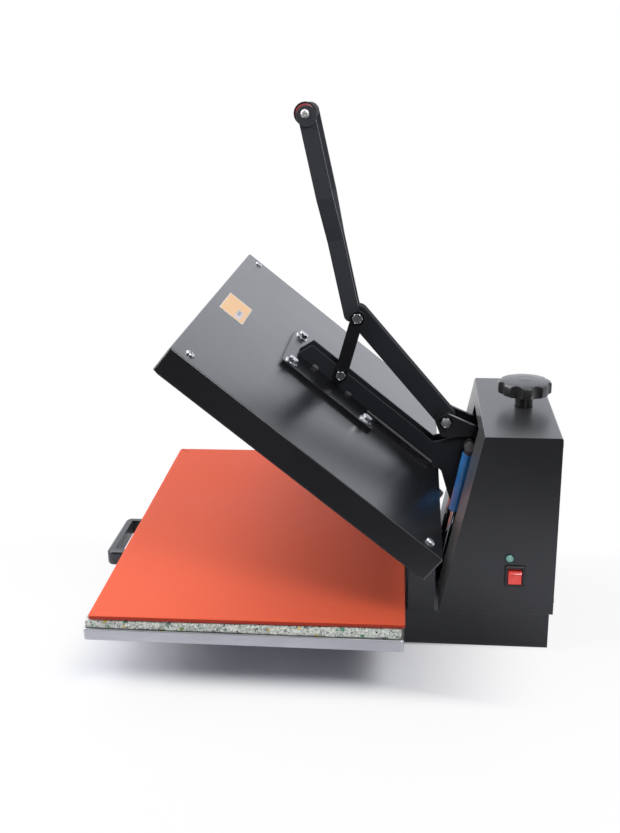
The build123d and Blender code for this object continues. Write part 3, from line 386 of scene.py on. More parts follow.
def turned_piece(name, rings, sides=48):
    """Turned about +Z: a disc is drawn up through rings of (radius, height)."""
    deselect()
    radius, height = rings[0]
    bpy.ops.mesh.primitive_circle_add(
        vertices=sides, radius=radius, fill_type="NGON", location=(0, 0, height))
    piece = bpy.context.object
    piece.name = name
    bpy.ops.object.mode_set(mode="EDIT")
    for next_radius, next_height in rings[1:]:
        bpy.ops.mesh.extrude_region_move(TRANSFORM_OT_translate={"value": (0, 0, next_height - height)})
        bpy.ops.transform.resize(value=(next_radius / radius, next_radius / radius, 1))
        radius, height = next_radius, next_height
    bpy.ops.object.mode_set(mode="OBJECT")
    return tidy(piece)


def slab(name, low, high):
    """A block between two corners."""
    deselect()
    low, high = Vector(low), Vector(high)
    bpy.ops.mesh.primitive_cube_add(size=1, location=(low + high) / 2, scale=high - low)
    piece = bpy.context.object
    piece.name = name
    return tidy(piece)


def modify(piece, kind, **settings):
    """Puts a modifier on a piece and applies it."""
    take(piece)
    change = piece.modifiers.new(kind.lower(), kind)
    for key, value in settings.items():
        setattr(change, key, value)
    bpy.ops.object.modifier_apply(modifier=change.name)


def cut(piece, cutter, way="DIFFERENCE"):
    """Cuts one piece with another, or keeps what they share, and drops the cutter."""
    modify(piece, "BOOLEAN", operation=way, solver="EXACT", object=cutter)
    bpy.data.objects.remove(cutter)


def placed(master, name, matrix):
    """A copy of a piece with its own mesh, set in place."""
    piece = bpy.data.objects.new(name, master.data.copy())
    scene.collection.objects.link(piece)
    piece.data.transform(matrix)
    return piece


def fit(piece, made, body, slot, *stands_for):
    """Gives a new piece its finish and its body, and hides the nodes that it stands for; the slot is not used."""
    coat(made, piece)
    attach(piece, body)
    if stands_for:
        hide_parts(*stands_for)
    return piece


def side_of(x):
    return "r" if x > 0 else "l"


# Pan head screws with a cross recess: one is shaped, then copied to each corner.
screw_head = turned_piece("screw_head", (
    (0.0040, 0), (0.0042, 0.0006), (0.0040, 0.0013), (0.0034, 0.0019), (0.0024, 0.0023),
    (0.0010, 0.0024)), sides=36)
for across, deep in ((0.0046, 0.0008), (0.0008, 0.0046)):
    cut(screw_head, slab("recess", (-across / 2, -deep / 2, 0.0011), (across / 2, deep / 2, 0.0040)))
tidy(screw_head, smooth=40)

low_back, high_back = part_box("cover_screws")
head_height, head_radius = 0.0024, 0.0042
for x in (low_back.x + head_radius, high_back.x - head_radius):
    for z, level in ((low_back.z + head_radius, "b"), (high_back.z - head_radius, "t")):
        at = Matrix.Translation((x, high_back.y - head_height, z)) @ Matrix.Rotation(-pi / 2, 4, "X")
        screw = placed(screw_head, f"cover_screw_{side_of(x)}{level}", at)
        fit(screw, bright_zinc, "press_base", "zinc", "cover_screws")

# ---- Power switch and lamp ------------------------------------------------------------------------
# A snap-in rocker switch in a black nylon housing, its red rocker moulded from clear-tinted plastic,
# with a green pilot lamp above it. Both are pushed through the cover and held by their own lugs.

black_plastic = moulding(
    "black_plastic", (0.014, 0.014, 0.015), (0.024, 0.024, 0.025), gloss=(0.28, 0.45), pit=2600.0, depth=0.08)
coat(black_plastic, "switch_housing")

tinted_red = moulding(
    "tinted_red", (0.90, 0.055, 0.040), (0.92, 0.12, 0.10), gloss=(0.16, 0.28), pit=3000.0, depth=0.04)
# A faint red glow brightens the rocker: painted light, as no lamp is in it.
tinted_red.shade(Coat_Weight=0.6, Coat_Roughness=0.14, Emission_Color=(0.90, 0.035, 0.03), Emission_Strength=0.14)


def middle(node):
    """A node's middle from front to back and in height."""
    low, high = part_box(node)
    return (low.y + high.y) / 2, (low.z + high.z) / 2


def pick(piece, kind, test):
    """Opens a piece for editing, with those corners, edges or faces picked that pass a test."""
    take(piece)
    bpy.ops.object.mode_set(mode="EDIT")
    bpy.ops.mesh.select_mode(type=kind)
    bpy.ops.mesh.select_all(action="DESELECT")
    shape = bmesh.from_edit_mesh(piece.data)
    for part in {"VERT": shape.verts, "EDGE": shape.edges, "FACE": shape.faces}[kind]:
        part.select_set(test(part))
    bmesh.update_edit_mesh(piece.data)


def pull(piece, test, move):
    """Moves the corners whose place passes a test."""
    pick(piece, "VERT", lambda corner: test(corner.co))
    bpy.ops.transform.translate(value=move)
    bpy.ops.object.mode_set(mode="OBJECT")


def slice_across(piece, axis, places):
    """Cuts rings of edges round a piece, square to an axis."""
    take(piece)
    bpy.ops.object.mode_set(mode="EDIT")
    for place in places:
        bpy.ops.mesh.select_all(action="SELECT")
        point, normal = [0.0, 0.0, 0.0], [0, 0, 0]
        point[axis], normal[axis] = place, 1
        bpy.ops.mesh.bisect(plane_co=point, plane_no=normal)
    bpy.ops.object.mode_set(mode="OBJECT")


def join(piece, *others):
    take(piece, *others)
    bpy.ops.object.join()


def soften(piece, width, segments=2, angle=35):
    """Rounds a piece's sharp edges."""
    modify(
        piece, "BEVEL", width=width, segments=segments, limit_method="ANGLE", angle_limit=radians(angle),
        use_clamp_overlap=True)


# The rocker: dished below, with a rib across it that a finger finds, and pins at its sides.
rocker_face = (
    (-0.0052, -0.0011), (0.0, -0.0016), (0.0046, -0.0014), (0.0056, 0.0002), (0.0066, 0.0002), (0.0076, -0.0012))
near, front, tip = 0.0002, 0.007, 0.009
rocker = slab("rocker", (-0.0035, -0.0088, -0.0102), (0.0078, 0.0088, 0.0108))
slice_across(rocker, 2, [height for height, depth in rocker_face])
for height, depth in rocker_face:
    pull(rocker, lambda co: co.x > front and abs(co.z - height) < near, (depth, 0, 0))
for end in (-1, 1):
    pull(rocker, lambda co: co.x < 0 and co.z * end > tip, (0, 0, -0.0030 * end))
soften(rocker, 0.0006, segments=3, angle=12)
rocker_pin = turned_piece(
    "rocker_pin", ((0.0012, -0.0104), (0.0016, -0.0100), (0.0016, 0.0100), (0.0012, 0.0104)), sides=24)
rocker_pin.data.transform(Matrix.Rotation(pi / 2, 4, "X"))
join(rocker, rocker_pin)
pin_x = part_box("switch_housing")[1].x - 0.0070
rocker_rest = Matrix.Rotation(radians(7), 4, "Y")
rocker.data.transform(Matrix.Translation((pin_x, *middle("power_rocker"))) @ rocker_rest)
tidy(rocker, smooth=25)
fit(rocker, tinted_red, "switch_rocker", "rocker_red", "power_rocker")

# The pilot lamp: a dark bezel with a domed, cloudy green lens in it.
bezel_green = moulding(
    "bezel_green", (0.010, 0.040, 0.034), (0.016, 0.055, 0.047), gloss=(0.26, 0.40), pit=3000.0, depth=0.03)
cloudy_green = moulding(
    "cloudy_green", (0.15, 0.43, 0.36), (0.28, 0.57, 0.50), gloss=(0.14, 0.28), pit=3000.0, depth=0.03)
cloudy_green.shade(Coat_Weight=0.6, Coat_Roughness=0.08)
facing_x = Matrix.Rotation(pi / 2, 4, "Y")
lens_height = 0.0040
lamp_at = Matrix.Translation((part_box("indicator_lamp")[1].x - lens_height, *middle("indicator_lamp"))) @ facing_x
lamp_bezel = turned_piece("lamp_bezel", (
    (0.0049, -0.0160), (0.0049, 0.0), (0.0060, 0.0), (0.0062, 0.0003), (0.0061, 0.0011), (0.0058, 0.0015),
    (0.0054, 0.0014), (0.0052, 0.0008)))
lamp_lens = turned_piece("lamp_lens", (
    (0.0051, 0.0006), (0.0051, 0.0018), (0.0048, 0.0027), (0.0041, 0.0034), (0.0028, 0.0039),
    (0.0010, lens_height)))
for piece, made in ((lamp_bezel, bezel_green), (lamp_lens, cloudy_green)):
    piece.data.transform(lamp_at)
    fit(tidy(piece, smooth=35), made, "press_base", "lamp_green", "indicator_lamp")

# ---- Mains inlet and temperature controller -------------------------------------------------------
# A three-pin appliance inlet at the bottom of the back, and on the left a panel controller: a bezel,
# a smoked window over its display and four soft keys.

coat(black_plastic, "power_inlet", "temperature_controller")
panel_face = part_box("temperature_controller")[0].x
panel_y, panel_z = middle("temperature_controller")
smoked = Finish("smoked_window")
rub = smoked.group(rubbed_edge, Radius=0.0005, Patch_Size=90.0, Amount=0.2)
dust = smoked.group(moulded_skin, Pit_Size=900.0, Depth=0.02, Chalk_Size=30.0, Normal=rub["Normal"])
smoked.shade(
    Base_Color=(0.012, 0.010, 0.011), Roughness=smoked.band(dust["Chalk"], 0.0, 1.0, 0.05, 0.16),
    Normal=dust["Normal"], Coat_Weight=1.0, Coat_Roughness=0.04)
window_half, window_foot, window_head = 0.0346, -0.0028, 0.0248
window = slab(
    "display_window", (panel_face + 0.0003, panel_y - window_half, panel_z + window_foot),
    (panel_face + 0.0009, panel_y + window_half, panel_z + window_head))
soften(window, 0.0012, segments=3)
fit(tidy(window, smooth=40), smoked, "press_base", "black_plastic")
key_rubber = moulding("key_rubber", (0.20, 0.20, 0.21), (0.27, 0.27, 0.28), gloss=(0.5, 0.7), pit=1800.0, depth=0.2)
key_cap = slab("key_cap", (-0.0009, -0.0066, -0.0046), (0.0010, 0.0066, 0.0046))
soften(key_cap, 0.0008, segments=3)
tidy(key_cap, smooth=40)
key_drop = 0.021
for number, offset in enumerate((-0.030, -0.010, 0.010, 0.030)):
    at = Matrix.Translation((panel_face + 0.0006, panel_y + offset, panel_z - key_drop))
    fit(placed(key_cap, f"controller_key_{number + 1}", at), key_rubber, "press_base", "black_plastic")

# ---- Pressure knob and screw ----------------------------------------------------------------------
# A star knob of moulded phenolic, eight shallow scallops round a domed cap, pressed on the steel
# pressure screw. The scallops are moulded in, and its edges are worn smooth by hands.

cap_top, scallops, scallop_ring, scallop_radius = 0.0204, 8, 0.0425, 0.0105
knob = turned_piece("star_knob", (
    (0.0118, -0.0255), (0.0126, -0.0060), (0.0134, -0.0030), (0.0160, -0.0016), (0.0300, -0.0008), (0.0352, 0.0004),
    (0.0370, 0.0022), (0.0370, 0.0140), (0.0362, 0.0156), (0.0340, 0.0170), (0.0270, 0.0184), (0.0180, 0.0194),
    (0.0120, 0.0199), (0.0115, 0.0196), (0.0107, 0.0196), (0.0102, 0.0200), (0.0050, 0.0203),
    (0.0010, cap_top)), sides=96)
for number in range(scallops):
    angle = radians((number + 0.5) * 360 / scallops)
    deselect()
    bpy.ops.mesh.primitive_cylinder_add(
        vertices=40, radius=scallop_radius, depth=0.05,
        location=(scallop_ring * cos(angle), scallop_ring * sin(angle), 0.012))
    cut(knob, bpy.context.object)
soften(knob, 0.0014, segments=3, angle=50)
knob.data.transform(Matrix.Translation((0, middle("pressure_knob")[0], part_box("pressure_knob")[1].z - cap_top)))
phenolic = moulding(
    "phenolic", (0.0060, 0.0062, 0.0072), (0.012, 0.0122, 0.0138), gloss=(0.36, 0.48), pit=1900.0, depth=0.07,
    edge=0.0010)
phenolic.shade(Coat_Weight=1.0, Coat_Roughness=0.42, Sheen_Weight=0.5, Sheen_Roughness=0.35)
fit(tidy(knob, smooth=35), phenolic, "adjuster", "knob_plastic", "pressure_knob")
coat(bright_zinc, "pressure_screw")

# ---- Yoke and lever pivot -------------------------------------------------------------------------
# Two cheek plates on a block that the pressure screw lifts. The lever swings between them on an M12
# bolt with a lock nut behind. The cheeks are painted, the bolt is bright zinc.

coat(black_paint, "hinge_yoke")
coat(bright_zinc, "pivot_spacers")

# A hexagon head: a six-sided bar, its crown turned off to a cone, with the bearing ring under it.
hexagon = 0.0075
bolt_head = turned_piece("bolt_head", ((hexagon, 0), (hexagon, 0.006)), sides=6)
cut(bolt_head, turned_piece("crown", (
    (0.0071, -0.0002), (0.0074, 0.0004), (0.0077, 0.0048), (0.0066, 0.00602), (0.0062, 0.00608), (0.0059, 0.0058),
    (0.0010, 0.0058)), sides=60), "INTERSECT")
soften(bolt_head, 0.00018, angle=25)
tidy(bolt_head, smooth=30)

# A lock nut: the hexagon with its rolled collar, and the bolt's end with a chamfer in it.
lock_nut = turned_piece("lock_nut", ((hexagon, 0), (hexagon, 0.0052)), sides=6)
cut(lock_nut, turned_piece("collar", (
    (0.0070, -0.0002), (0.0077, 0.0006), (0.0077, 0.0034), (0.0064, 0.0042), (0.0061, 0.0053),
    (0.0010, 0.0053)), sides=60), "INTERSECT")
soften(lock_nut, 0.00018, angle=25)
join(lock_nut, turned_piece("bolt_end", (
    (0.0040, 0.0030), (0.0040, 0.0056), (0.0037, 0.0059), (0.0010, 0.0060)), sides=36))
tidy(lock_nut, smooth=30)

# A flat washer, stamped, so its top edge is rounded and its face slightly dished.
washer_height = 0.0016
washer = turned_piece("washer", (
    (0.0098, 0), (0.0098, 0.0011), (0.0094, washer_height), (0.0060, 0.00155), (0.0050, 0.0014)), sides=60)
tidy(washer, smooth=30)

blackened = bare_metal(
    "blackened_steel", (0.020, 0.020, 0.022), (0.045, 0.045, 0.048), gloss=(0.30, 0.46), size=300.0, depth=0.10,
    edge=0.0006)


def pinned(label, place, half, body, stands_for=(), size=1.0):
    """Closes a cross pin: a head and its washer on the right end, a lock nut and its washer on the left."""
    for way, name, master, kind in ((1, label, bolt_head, "head"), (-1, label + "_far", lock_nut, "nut")):
        out_x = Matrix.Rotation(way * pi / 2, 4, "Y") @ Matrix.Diagonal((size, size, 1, 1))
        seat = Matrix.Translation((way * half, *place))
        step = Matrix.Translation((way * washer_height, 0, 0))
        fit(placed(washer, name + "_washer", seat @ out_x), blackened, body, "zinc", *stands_for)
        fit(placed(master, f"{name}_{kind}", step @ seat @ out_x), bright_zinc, body, "zinc", *stands_for)


def cross_pin(label, place, radius, half, body, node):
    """The shank between a head and its nut, its ends chamfered."""
    shank = turned_piece(label, (
        (radius - 0.0006, -half), (radius, -half + 0.0006),
        (radius, half - 0.0006), (radius - 0.0006, half)), sides=40)
    shank.data.transform(Matrix.Translation((0, *place)) @ facing_x)
    fit(tidy(shank, smooth=40), bright_zinc, body, "zinc", node)


pivot = middle("lever_pivot_bolt")
cross_pin("lever_pin", pivot, 0.006, 0.0255, "pressure_yoke", "lever_pivot_bolt")
pinned("lever_pivot", pivot, 0.0250, "pressure_yoke")

# ---- Lever: arm tube, joggled bars and grip -------------------------------------------------------
# A flat-sided tube from the pivot to the elbow, then two flat bars that step outwards to the grip.
# The bars are cold bent, ground at the ends and painted; a foam sleeve turns on a long bolt.

satin_paint = painted_steel(
    "satin_paint", (0.0235, 0.0250, 0.0300), (0.0310, 0.0325, 0.0385), (0.055, 0.056, 0.062),
    gloss=(0.62, 0.72), grain=500.0, depth=0.12, edge=0.0005, wear=0.3).shade(Specular_IOR_Level=0.08)
# The bars take a lighter copy of the lever's black paint: painted light, for the brighter faces they show.
bar_paint = painted_steel(
    "bar_paint", (0.034, 0.0365, 0.044), (0.043, 0.046, 0.055), (0.070, 0.072, 0.080), gloss=(0.36, 0.46),
    grain=500.0, depth=0.12, edge=0.0004, wear=0.2).shade(Specular_IOR_Level=0.4)
coat(satin_paint, "lever_arm")
coat(bar_paint, "handle_bar_right", "handle_bar_left")
coat(bright_zinc, "elbow_bolt", "grip_bolt")

foam_rubber = moulding(
    "foam_rubber", (0.010, 0.010, 0.011), (0.022, 0.022, 0.022), gloss=(0.72, 0.88), pit=1100.0, depth=0.5,
    edge=0.0012)
coat(foam_rubber, "grip_sleeve")

end_ring = turned_piece("grip_end_ring", (
    (0.0138, 0), (0.01495, 0.0010), (0.01495, 0.0028), (0.0146, 0.0038), (0.0139, 0.0042), (0.0133, 0.0038),
    (0.0131, 0.0026)), sides=64)
end_disc = turned_piece("grip_end_disc", (
    (0.0130, 0.0020), (0.0128, 0.0031), (0.0118, 0.0036), (0.0010, 0.0038)), sides=64)
dusty_red = moulding(
    "dusty_red", (0.34, 0.060, 0.065), (0.42, 0.14, 0.15), gloss=(0.30, 0.46), pit=900.0, depth=0.06)
satin_zinc = bare_metal(
    "satin_zinc", (0.80, 0.80, 0.80), (0.92, 0.91, 0.90), gloss=(0.44, 0.54), size=260.0, depth=0.08)

# Over the cap lies a keeper plate in line with the bar, and a pan head screw holds both.
shading_keeper = turned_piece("grip_keeper", (
    (0.0134, 0.0022), (0.0134, 0.0044), (0.0130, 0.0048), (0.0010, 0.0048)), sides=64)
# The keeper sits off the cap's middle, so it hides the lower side of the red disc: a dark piece standing for painted
# shade there.
shading_keeper.data.transform(Matrix.Translation((0.0035, 0.0008, 0)))
grip_screw = placed(
    screw_head, "grip_screw", Matrix.Translation((0, 0, 0.0046)) @ Matrix.Diagonal((1.36, 1.36, 1.25, 1)))
bar_way = Matrix.Rotation(radians(12.1), 4, "Z")
grip_at = Matrix.Translation((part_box("grip_cap")[0].x, *middle("grip_sleeve"))) @ facing_x
for piece, made, slot in (
        (end_ring, foam_rubber, "grip_rubber"), (end_disc, dusty_red, "cap_red"),
        (shading_keeper, bar_paint, "grip_rubber"),
        (grip_screw, satin_zinc, "zinc")):
    piece.data.transform(bar_way)
    piece.data.transform(grip_at)
    fit(tidy(piece, smooth=35), made, "lever", slot, "grip_cap")

# ---- Toggle links ---------------------------------------------------------------------------------
# Two short flat links, one each side of the arm, between the elbow and the platen's arm. Flame cut
# with round ends and painted, on bright bolts with blackened washers.

coat(black_paint, "link_plate_right", "link_plate_left")
pinned("elbow", middle("elbow_bolt"), 0.0215, "toggle_link", ("elbow_bolt_heads",))
low_link = middle("link_pivot_bolt")
cross_pin("link_pin", low_link, 0.005, 0.0219, "upper_platen", "link_pivot_bolt")
pinned("link_pivot", low_link, 0.0219, "upper_platen", size=0.92)

# ---- Upper platen: hood and heating plate ---------------------------------------------------------
# A folded sheet hood over a cast aluminium heating plate, held by a pan head screw at each corner.
# The hood has the same powder as the tower; the plate's face is dark with a baked release coat.

platen_at = Matrix.Translation((0, -0.150249, 0.469375)) @ Matrix.Rotation(radians(-39.24), 4, "X")
hood_coat = painted_steel(
    "hood_coat", (0.0085, 0.0089, 0.0112), (0.0130, 0.0136, 0.0170), (0.075, 0.077, 0.085), gloss=(0.22, 0.30),
    grain=850.0, depth=0.10, edge=0.0012, wear=0.4)
hood_coat.shade(Specular_IOR_Level=0.45, Coat_Weight=0.7, Coat_Roughness=0.26)
coat(hood_coat, "platen_housing")
release_coat = bare_metal(
    "release_coat", (0.020, 0.020, 0.022), (0.034, 0.034, 0.036), gloss=(0.30, 0.46), size=500.0, depth=0.12)
coat(release_coat.shade(Metallic=0.2), "heating_plate")


def corners(half, rows):
    """Places in two rows across the platen, each with a name's ending: right or left, front or back."""
    return [(x, row, side_of(x) + end) for x in (-half, half) for row, end in zip(rows, "fb")]


larger = Matrix.Diagonal((1.42, 1.42, 1.3, 1))
for x, along, end in corners(0.277, (0.023, 0.385)):
    at = platen_at @ Matrix.Translation((x, along, 0)) @ Matrix.Rotation(radians(20 + 300 * along), 4, "Z")
    screw = placed(screw_head, f"corner_screw_{end}", at @ larger)
    fit(screw, bright_zinc, "upper_platen", "zinc", "corner_screws")

# ---- Insulation in the platen ---------------------------------------------------------------------
# A mat of ceramic fibre packed between the heating plate and the hood, cut by knife, so its faces
# are felted and uneven and its edges are soft.


def roughen(piece, kind, size, strength, **settings):
    """Pushes a piece's skin in and out by a cloudy or cell-like pattern."""
    pattern = bpy.data.textures.new(piece.name + "_skin", kind)
    pattern.noise_scale = size
    modify(piece, "DISPLACE", texture=pattern, texture_coords="LOCAL", strength=strength, **settings)


mat = slab("insulation_mat", (-0.2958, 0.0042, -0.0230), (0.2958, 0.4008, -0.0026))
modify(mat, "REMESH", mode="VOXEL", voxel_size=0.006)
roughen(mat, "CLOUDS", size=0.03, strength=0.0022, mid_level=0.75)
mat.data.transform(platen_at)
fibre = Finish("ceramic_fibre")
strands = fibre.noise(fibre.here(), 420.0, 6.0, Roughness=0.75, Distortion=1.5)
clumps = fibre.noise(fibre.here(), 28.0, 4.0)
fibre.shade(
    Base_Color=fibre.mix(clumps, (0.62, 0.58, 0.50), (0.84, 0.82, 0.77)), Roughness=0.95, Sheen_Weight=0.3,
    Normal=fibre.add("Bump", Strength=0.6, Distance=0.0008, Height=strands)["Normal"])
fit(tidy(mat, smooth=60), fibre, "upper_platen", "blanket", "insulation_blanket")

# ---- Bracket, arm and gland -----------------------------------------------------------------------
# A 6 mm plate bolted to the hood, and a folded channel arm welded on it that runs back to the hinge
# shaft. The heater's leads leave the hood's back edge through a nickel-plated gland.

coat(black_paint, "bracket_plate")
coat(satin_paint, "platen_arm")
nickel = bare_metal(
    "nickel_plate", (0.42, 0.40, 0.37), (0.66, 0.63, 0.58), gloss=(0.20, 0.36), size=420.0, depth=0.12)
coat(nickel, "cable_gland")
# The spring studs take a darker, duller copy of the zinc: painted shade, for studs that sit in shade.
dull_zinc = bare_metal(
    "dull_zinc", (0.34, 0.32, 0.315), (0.50, 0.475, 0.465), gloss=(0.40, 0.55), size=300.0, depth=0.12)
coat(dull_zinc, "spring_studs")

# Tacks of weld hold the arm's foot to the plate. Their lighter grey is a painted highlight for the light the beads
# catch.
weld_paint = painted_steel(
    "weld_paint", (0.045, 0.046, 0.050), (0.095, 0.096, 0.105), (0.16, 0.16, 0.165), gloss=(0.40, 0.54),
    grain=600.0, depth=0.3, edge=0.0006, wear=0.6)
tack = turned_piece("tack", (
    (0.0012, -0.0052), (0.0024, -0.0046), (0.0031, -0.0032), (0.0034, -0.0012), (0.0033, 0.0010), (0.0030, 0.0030),
    (0.0023, 0.0045), (0.0011, 0.0052)), sides=24)
roughen(tack, "CLOUDS", size=0.004, strength=0.0009)
tidy(tack, smooth=60)
for x, (along, lift, lean), end in corners(0.0160, ((0.1727, 0.0072, 84), (0.2320, 0.0066, 96))):
    at = platen_at @ Matrix.Translation((x, along, lift)) @ Matrix.Rotation(radians(lean), 4, "X")
    fit(placed(tack, f"weld_tack_{end}", at), weld_paint, "upper_platen", "black_powder_coat")

plate_top = 0.006
for x, along, end in corners(0.067, (0.137, 0.266)):
    turn = Matrix.Rotation(radians(11 + 170 * along + 60 * x), 4, "Z")
    at = platen_at @ Matrix.Translation((x, along, plate_top)) @ turn
    for piece in (
            placed(washer, f"bracket_bolt_{end}_washer", at),
            placed(bolt_head, f"bracket_bolt_{end}", at @ Matrix.Translation((0, 0, washer_height)))):
        fit(piece, bright_zinc, "upper_platen", "zinc", "bracket_bolts")

# A bead of weld runs along each edge of the arm's foot, behind the plate.
# Its light grey paint is a painted highlight along the edge of the arm's foot.
seam_paint = painted_steel(
    "seam_paint", (0.10, 0.102, 0.108), (0.165, 0.167, 0.175), (0.20, 0.20, 0.205), gloss=(0.44, 0.56),
    grain=600.0, depth=0.3, edge=0.0006, wear=0.6)
seam = turned_piece("foot_weld", ((0.0009, 0.0), (0.0018, 0.0010), (0.0019, 0.1178), (0.0009, 0.1190)), sides=16)
ring_gap = 0.0026
slice_across(seam, 2, [0.0014 + ring_gap * step for step in range(45)])
roughen(seam, "CLOUDS", size=0.003, strength=0.0006)
tidy(seam, smooth=60)
for x in (-0.0221, 0.0221):
    at = platen_at @ Matrix.Translation((x, 0.2670, 0.0056)) @ Matrix.Rotation(-pi / 2, 4, "X")
    fit(placed(seam, f"foot_weld_{side_of(x)}", at), seam_paint, "upper_platen", "black_powder_coat")

# ---- Bare tag on the hood -------------------------------------------------------------------------
# A foil tag stuck to the hood near its front edge: a pale rim round a plain orange field, with a
# blank pale panel and a grey bar on it. Its corners are rounded, and the foil is a little scuffed.


same = 1e-5


def upright(edge):
    a, b = edge.verts
    return abs(a.co.x - b.co.x) < same and abs(a.co.y - b.co.y) < same


def round_edges(piece, test, radius, segments):
    """Rounds the edges that pass a test."""
    pick(piece, "EDGE", test)
    bpy.ops.mesh.bevel(offset=radius, segments=segments)
    bpy.ops.object.mode_set(mode="OBJECT")


tag_rim = moulding("tag_rim", (0.84, 0.68, 0.55), (0.92, 0.80, 0.66), gloss=(0.28, 0.46), pit=700.0, depth=0.05)
tag_foil = moulding("tag_foil", (1.0, 0.57, 0.24), (1.0, 0.66, 0.33), gloss=(0.28, 0.46), pit=700.0, depth=0.05)
tag_panel = moulding("tag_panel", (0.80, 0.68, 0.70), (0.72, 0.68, 0.72), gloss=(0.34, 0.46), pit=700.0, depth=0.04)
tag_bar = moulding("tag_bar", (0.34, 0.37, 0.44), (0.46, 0.48, 0.54), gloss=(0.34, 0.46), pit=700.0, depth=0.04)
for name, made, low, high, radius in (
        ("blank_tag", tag_rim, (-0.038, 0.015, 0.00002), (0.053, 0.055, 0.00022), 0.0022),
        ("blank_tag_field", tag_foil, (-0.033, 0.0168, 0.00018), (0.048, 0.0532, 0.00030), 0.0016),
        ("blank_tag_panel", tag_panel, (0.0050, 0.0385, 0.00026), (0.0440, 0.0485, 0.00036), 0.0008),
        ("blank_tag_bar", tag_bar, (0.0080, 0.0400, 0.00032), (0.0300, 0.0450, 0.00040), 0.0004)):
    tag = slab(name, low, high)
    round_edges(tag, upright, radius, segments=5)
    tag.data.transform(platen_at)
    fit(tidy(tag, smooth=30), made, "upper_platen", "black_powder_coat")

# ---- Gas springs ----------------------------------------------------------------------------------
# Two gas springs hold the platen open: blue lacquered tubes with bare end eyes, and hard chromed rods
# that slide out of them down to the feet on the base.

eye_y, eye_z = middle("spring_studs")
lacquer = Finish("blue_lacquer")
rub = lacquer.group(rubbed_edge, Radius=0.0008, Patch_Size=90.0, Amount=0.5)
skin = lacquer.group(sprayed_grain, Grain_Size=500.0, Depth=0.03, Drift_Size=30.0, Normal=rub["Normal"])
from_eye = lacquer.add("Mapping", Vector=lacquer.here(), Location=(0, -eye_y, -eye_z))[0]
from_eye = lacquer.vector("LENGTH", lacquer.vector("MULTIPLY", from_eye, (0, 1, 1))[0])["Value"]
bare_end = lacquer.band(from_eye, 0.0128, 0.0122)
blues = lacquer.mix(skin["Drift"], (0.03, 0.27, 0.90), (0.12, 0.47, 1.0))
gloss = lacquer.band(skin["Drift"], 0.3, 0.7, 0.12, 0.22)
lacquer.shade(
    Base_Color=lacquer.mix(bare_end, blues, (0.22, 0.22, 0.23)), Metallic=bare_end, Normal=skin["Normal"],
    Roughness=lacquer.add("Mix", Factor=bare_end, A=gloss, B=0.38)["Result"], Coat_Weight=0.6, Coat_Roughness=0.05)
coat(lacquer, "gas_spring_tube_right", "gas_spring_tube_left")
hard_chrome = bare_metal(
    "hard_chrome", (0.60, 0.61, 0.63), (0.72, 0.73, 0.75), gloss=(0.06, 0.14), size=500.0, depth=0.02)
coat(hard_chrome, "gas_spring_rod_right", "gas_spring_rod_left")

# ---- Drawer: carriage, pull handle and lower plate ------------------------------------------------
# A welded carriage on two channels that slide on the rails, a bent pull bar at its front, and on it
# the lower plate: a cast aluminium slab with milled edges.

coat(black_paint, "drawer_carriage")
coat(powder_coat, "pull_handle")
coat(bright_zinc, "handle_screws")
milled = bare_metal(
    "milled_aluminium", (0.52, 0.525, 0.55), (0.62, 0.625, 0.65), gloss=(0.30, 0.42), size=900.0, depth=0.10,
    edge=0.0008, stretch=(0.03, 0.03, 1))
coat(milled, "lower_plate")

# ---- Foam pad -------------------------------------------------------------------------------------
# A slab of rebonded foam: crumbs of cream, dark, green and yellow foam pressed and glued, cut with a
# blade, so its faces are slightly open and its edges dip where crumbs have come away.

foam_low, foam_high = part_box("foam_pad")
foam = slab("foam_slab", foam_low + Vector((0.0010, 0.0010, 0.0002)), foam_high - Vector((0.0010, 0.0010, 0.0001)))
round_edges(foam, upright, 0.002, segments=3)
modify(foam, "REMESH", mode="VOXEL", voxel_size=0.0030)
roughen(foam, "VORONOI", size=0.009, strength=0.0012, mid_level=0.9)


def crumb_colours(made, pick, colours):
    """Gives each random number a crumb's colour; each colour comes with its share of the foam."""
    node = made.tree.nodes.new("ShaderNodeValToRGB")
    ramp = node.color_ramp
    ramp.interpolation = "CONSTANT"
    ramp.elements.remove(ramp.elements[1])
    place = 0.0
    for share, colour in colours:
        stop = ramp.elements.new(place) if place else ramp.elements[0]
        stop.color = (*colour, 1)
        place += share
    made.put(node.inputs[0], pick)
    return node.outputs[0]


rebonded = Finish("rebonded_foam")
spot = rebonded.here()
jumble = rebonded.add("TexNoise", Vector=spot, Scale=160.0, Detail=3.0)["Color"]
shifted = rebonded.vector("MULTIPLY_ADD", jumble, (0.008, 0.008, 0.008), spot)[0]
crumbs = rebonded.add("TexVoronoi", Vector=shifted, Scale=240.0)["Color"]
edges = rebonded.add(
    "TexVoronoi", settings={"feature": "DISTANCE_TO_EDGE"}, Vector=shifted, Scale=240.0)["Distance"]
flecks = rebonded.add("TexVoronoi", Vector=shifted, Scale=520.0)["Color"]
big_crumbs = crumb_colours(rebonded, rebonded.add("SeparateColor", crumbs)[0], (
    (0.34, (0.80, 0.83, 0.75)), (0.28, (0.90, 0.92, 0.87)), (0.16, (0.68, 0.72, 0.67)), (0.06, (0.48, 0.53, 0.51)),
    (0.06, (0.66, 0.78, 0.68)), (0.03, (0.07, 0.34, 0.19)), (0.035, (0.82, 0.62, 0.14)), (0.035, (0.12, 0.13, 0.15))))
small_crumbs = crumb_colours(rebonded, rebonded.add("SeparateColor", flecks)[0], (
    (0.38, (0.84, 0.87, 0.80)), (0.22, (0.68, 0.73, 0.70)), (0.20, (0.93, 0.94, 0.91)), (0.07, (0.26, 0.29, 0.31)),
    (0.05, (0.20, 0.46, 0.33)), (0.08, (0.09, 0.10, 0.12))))
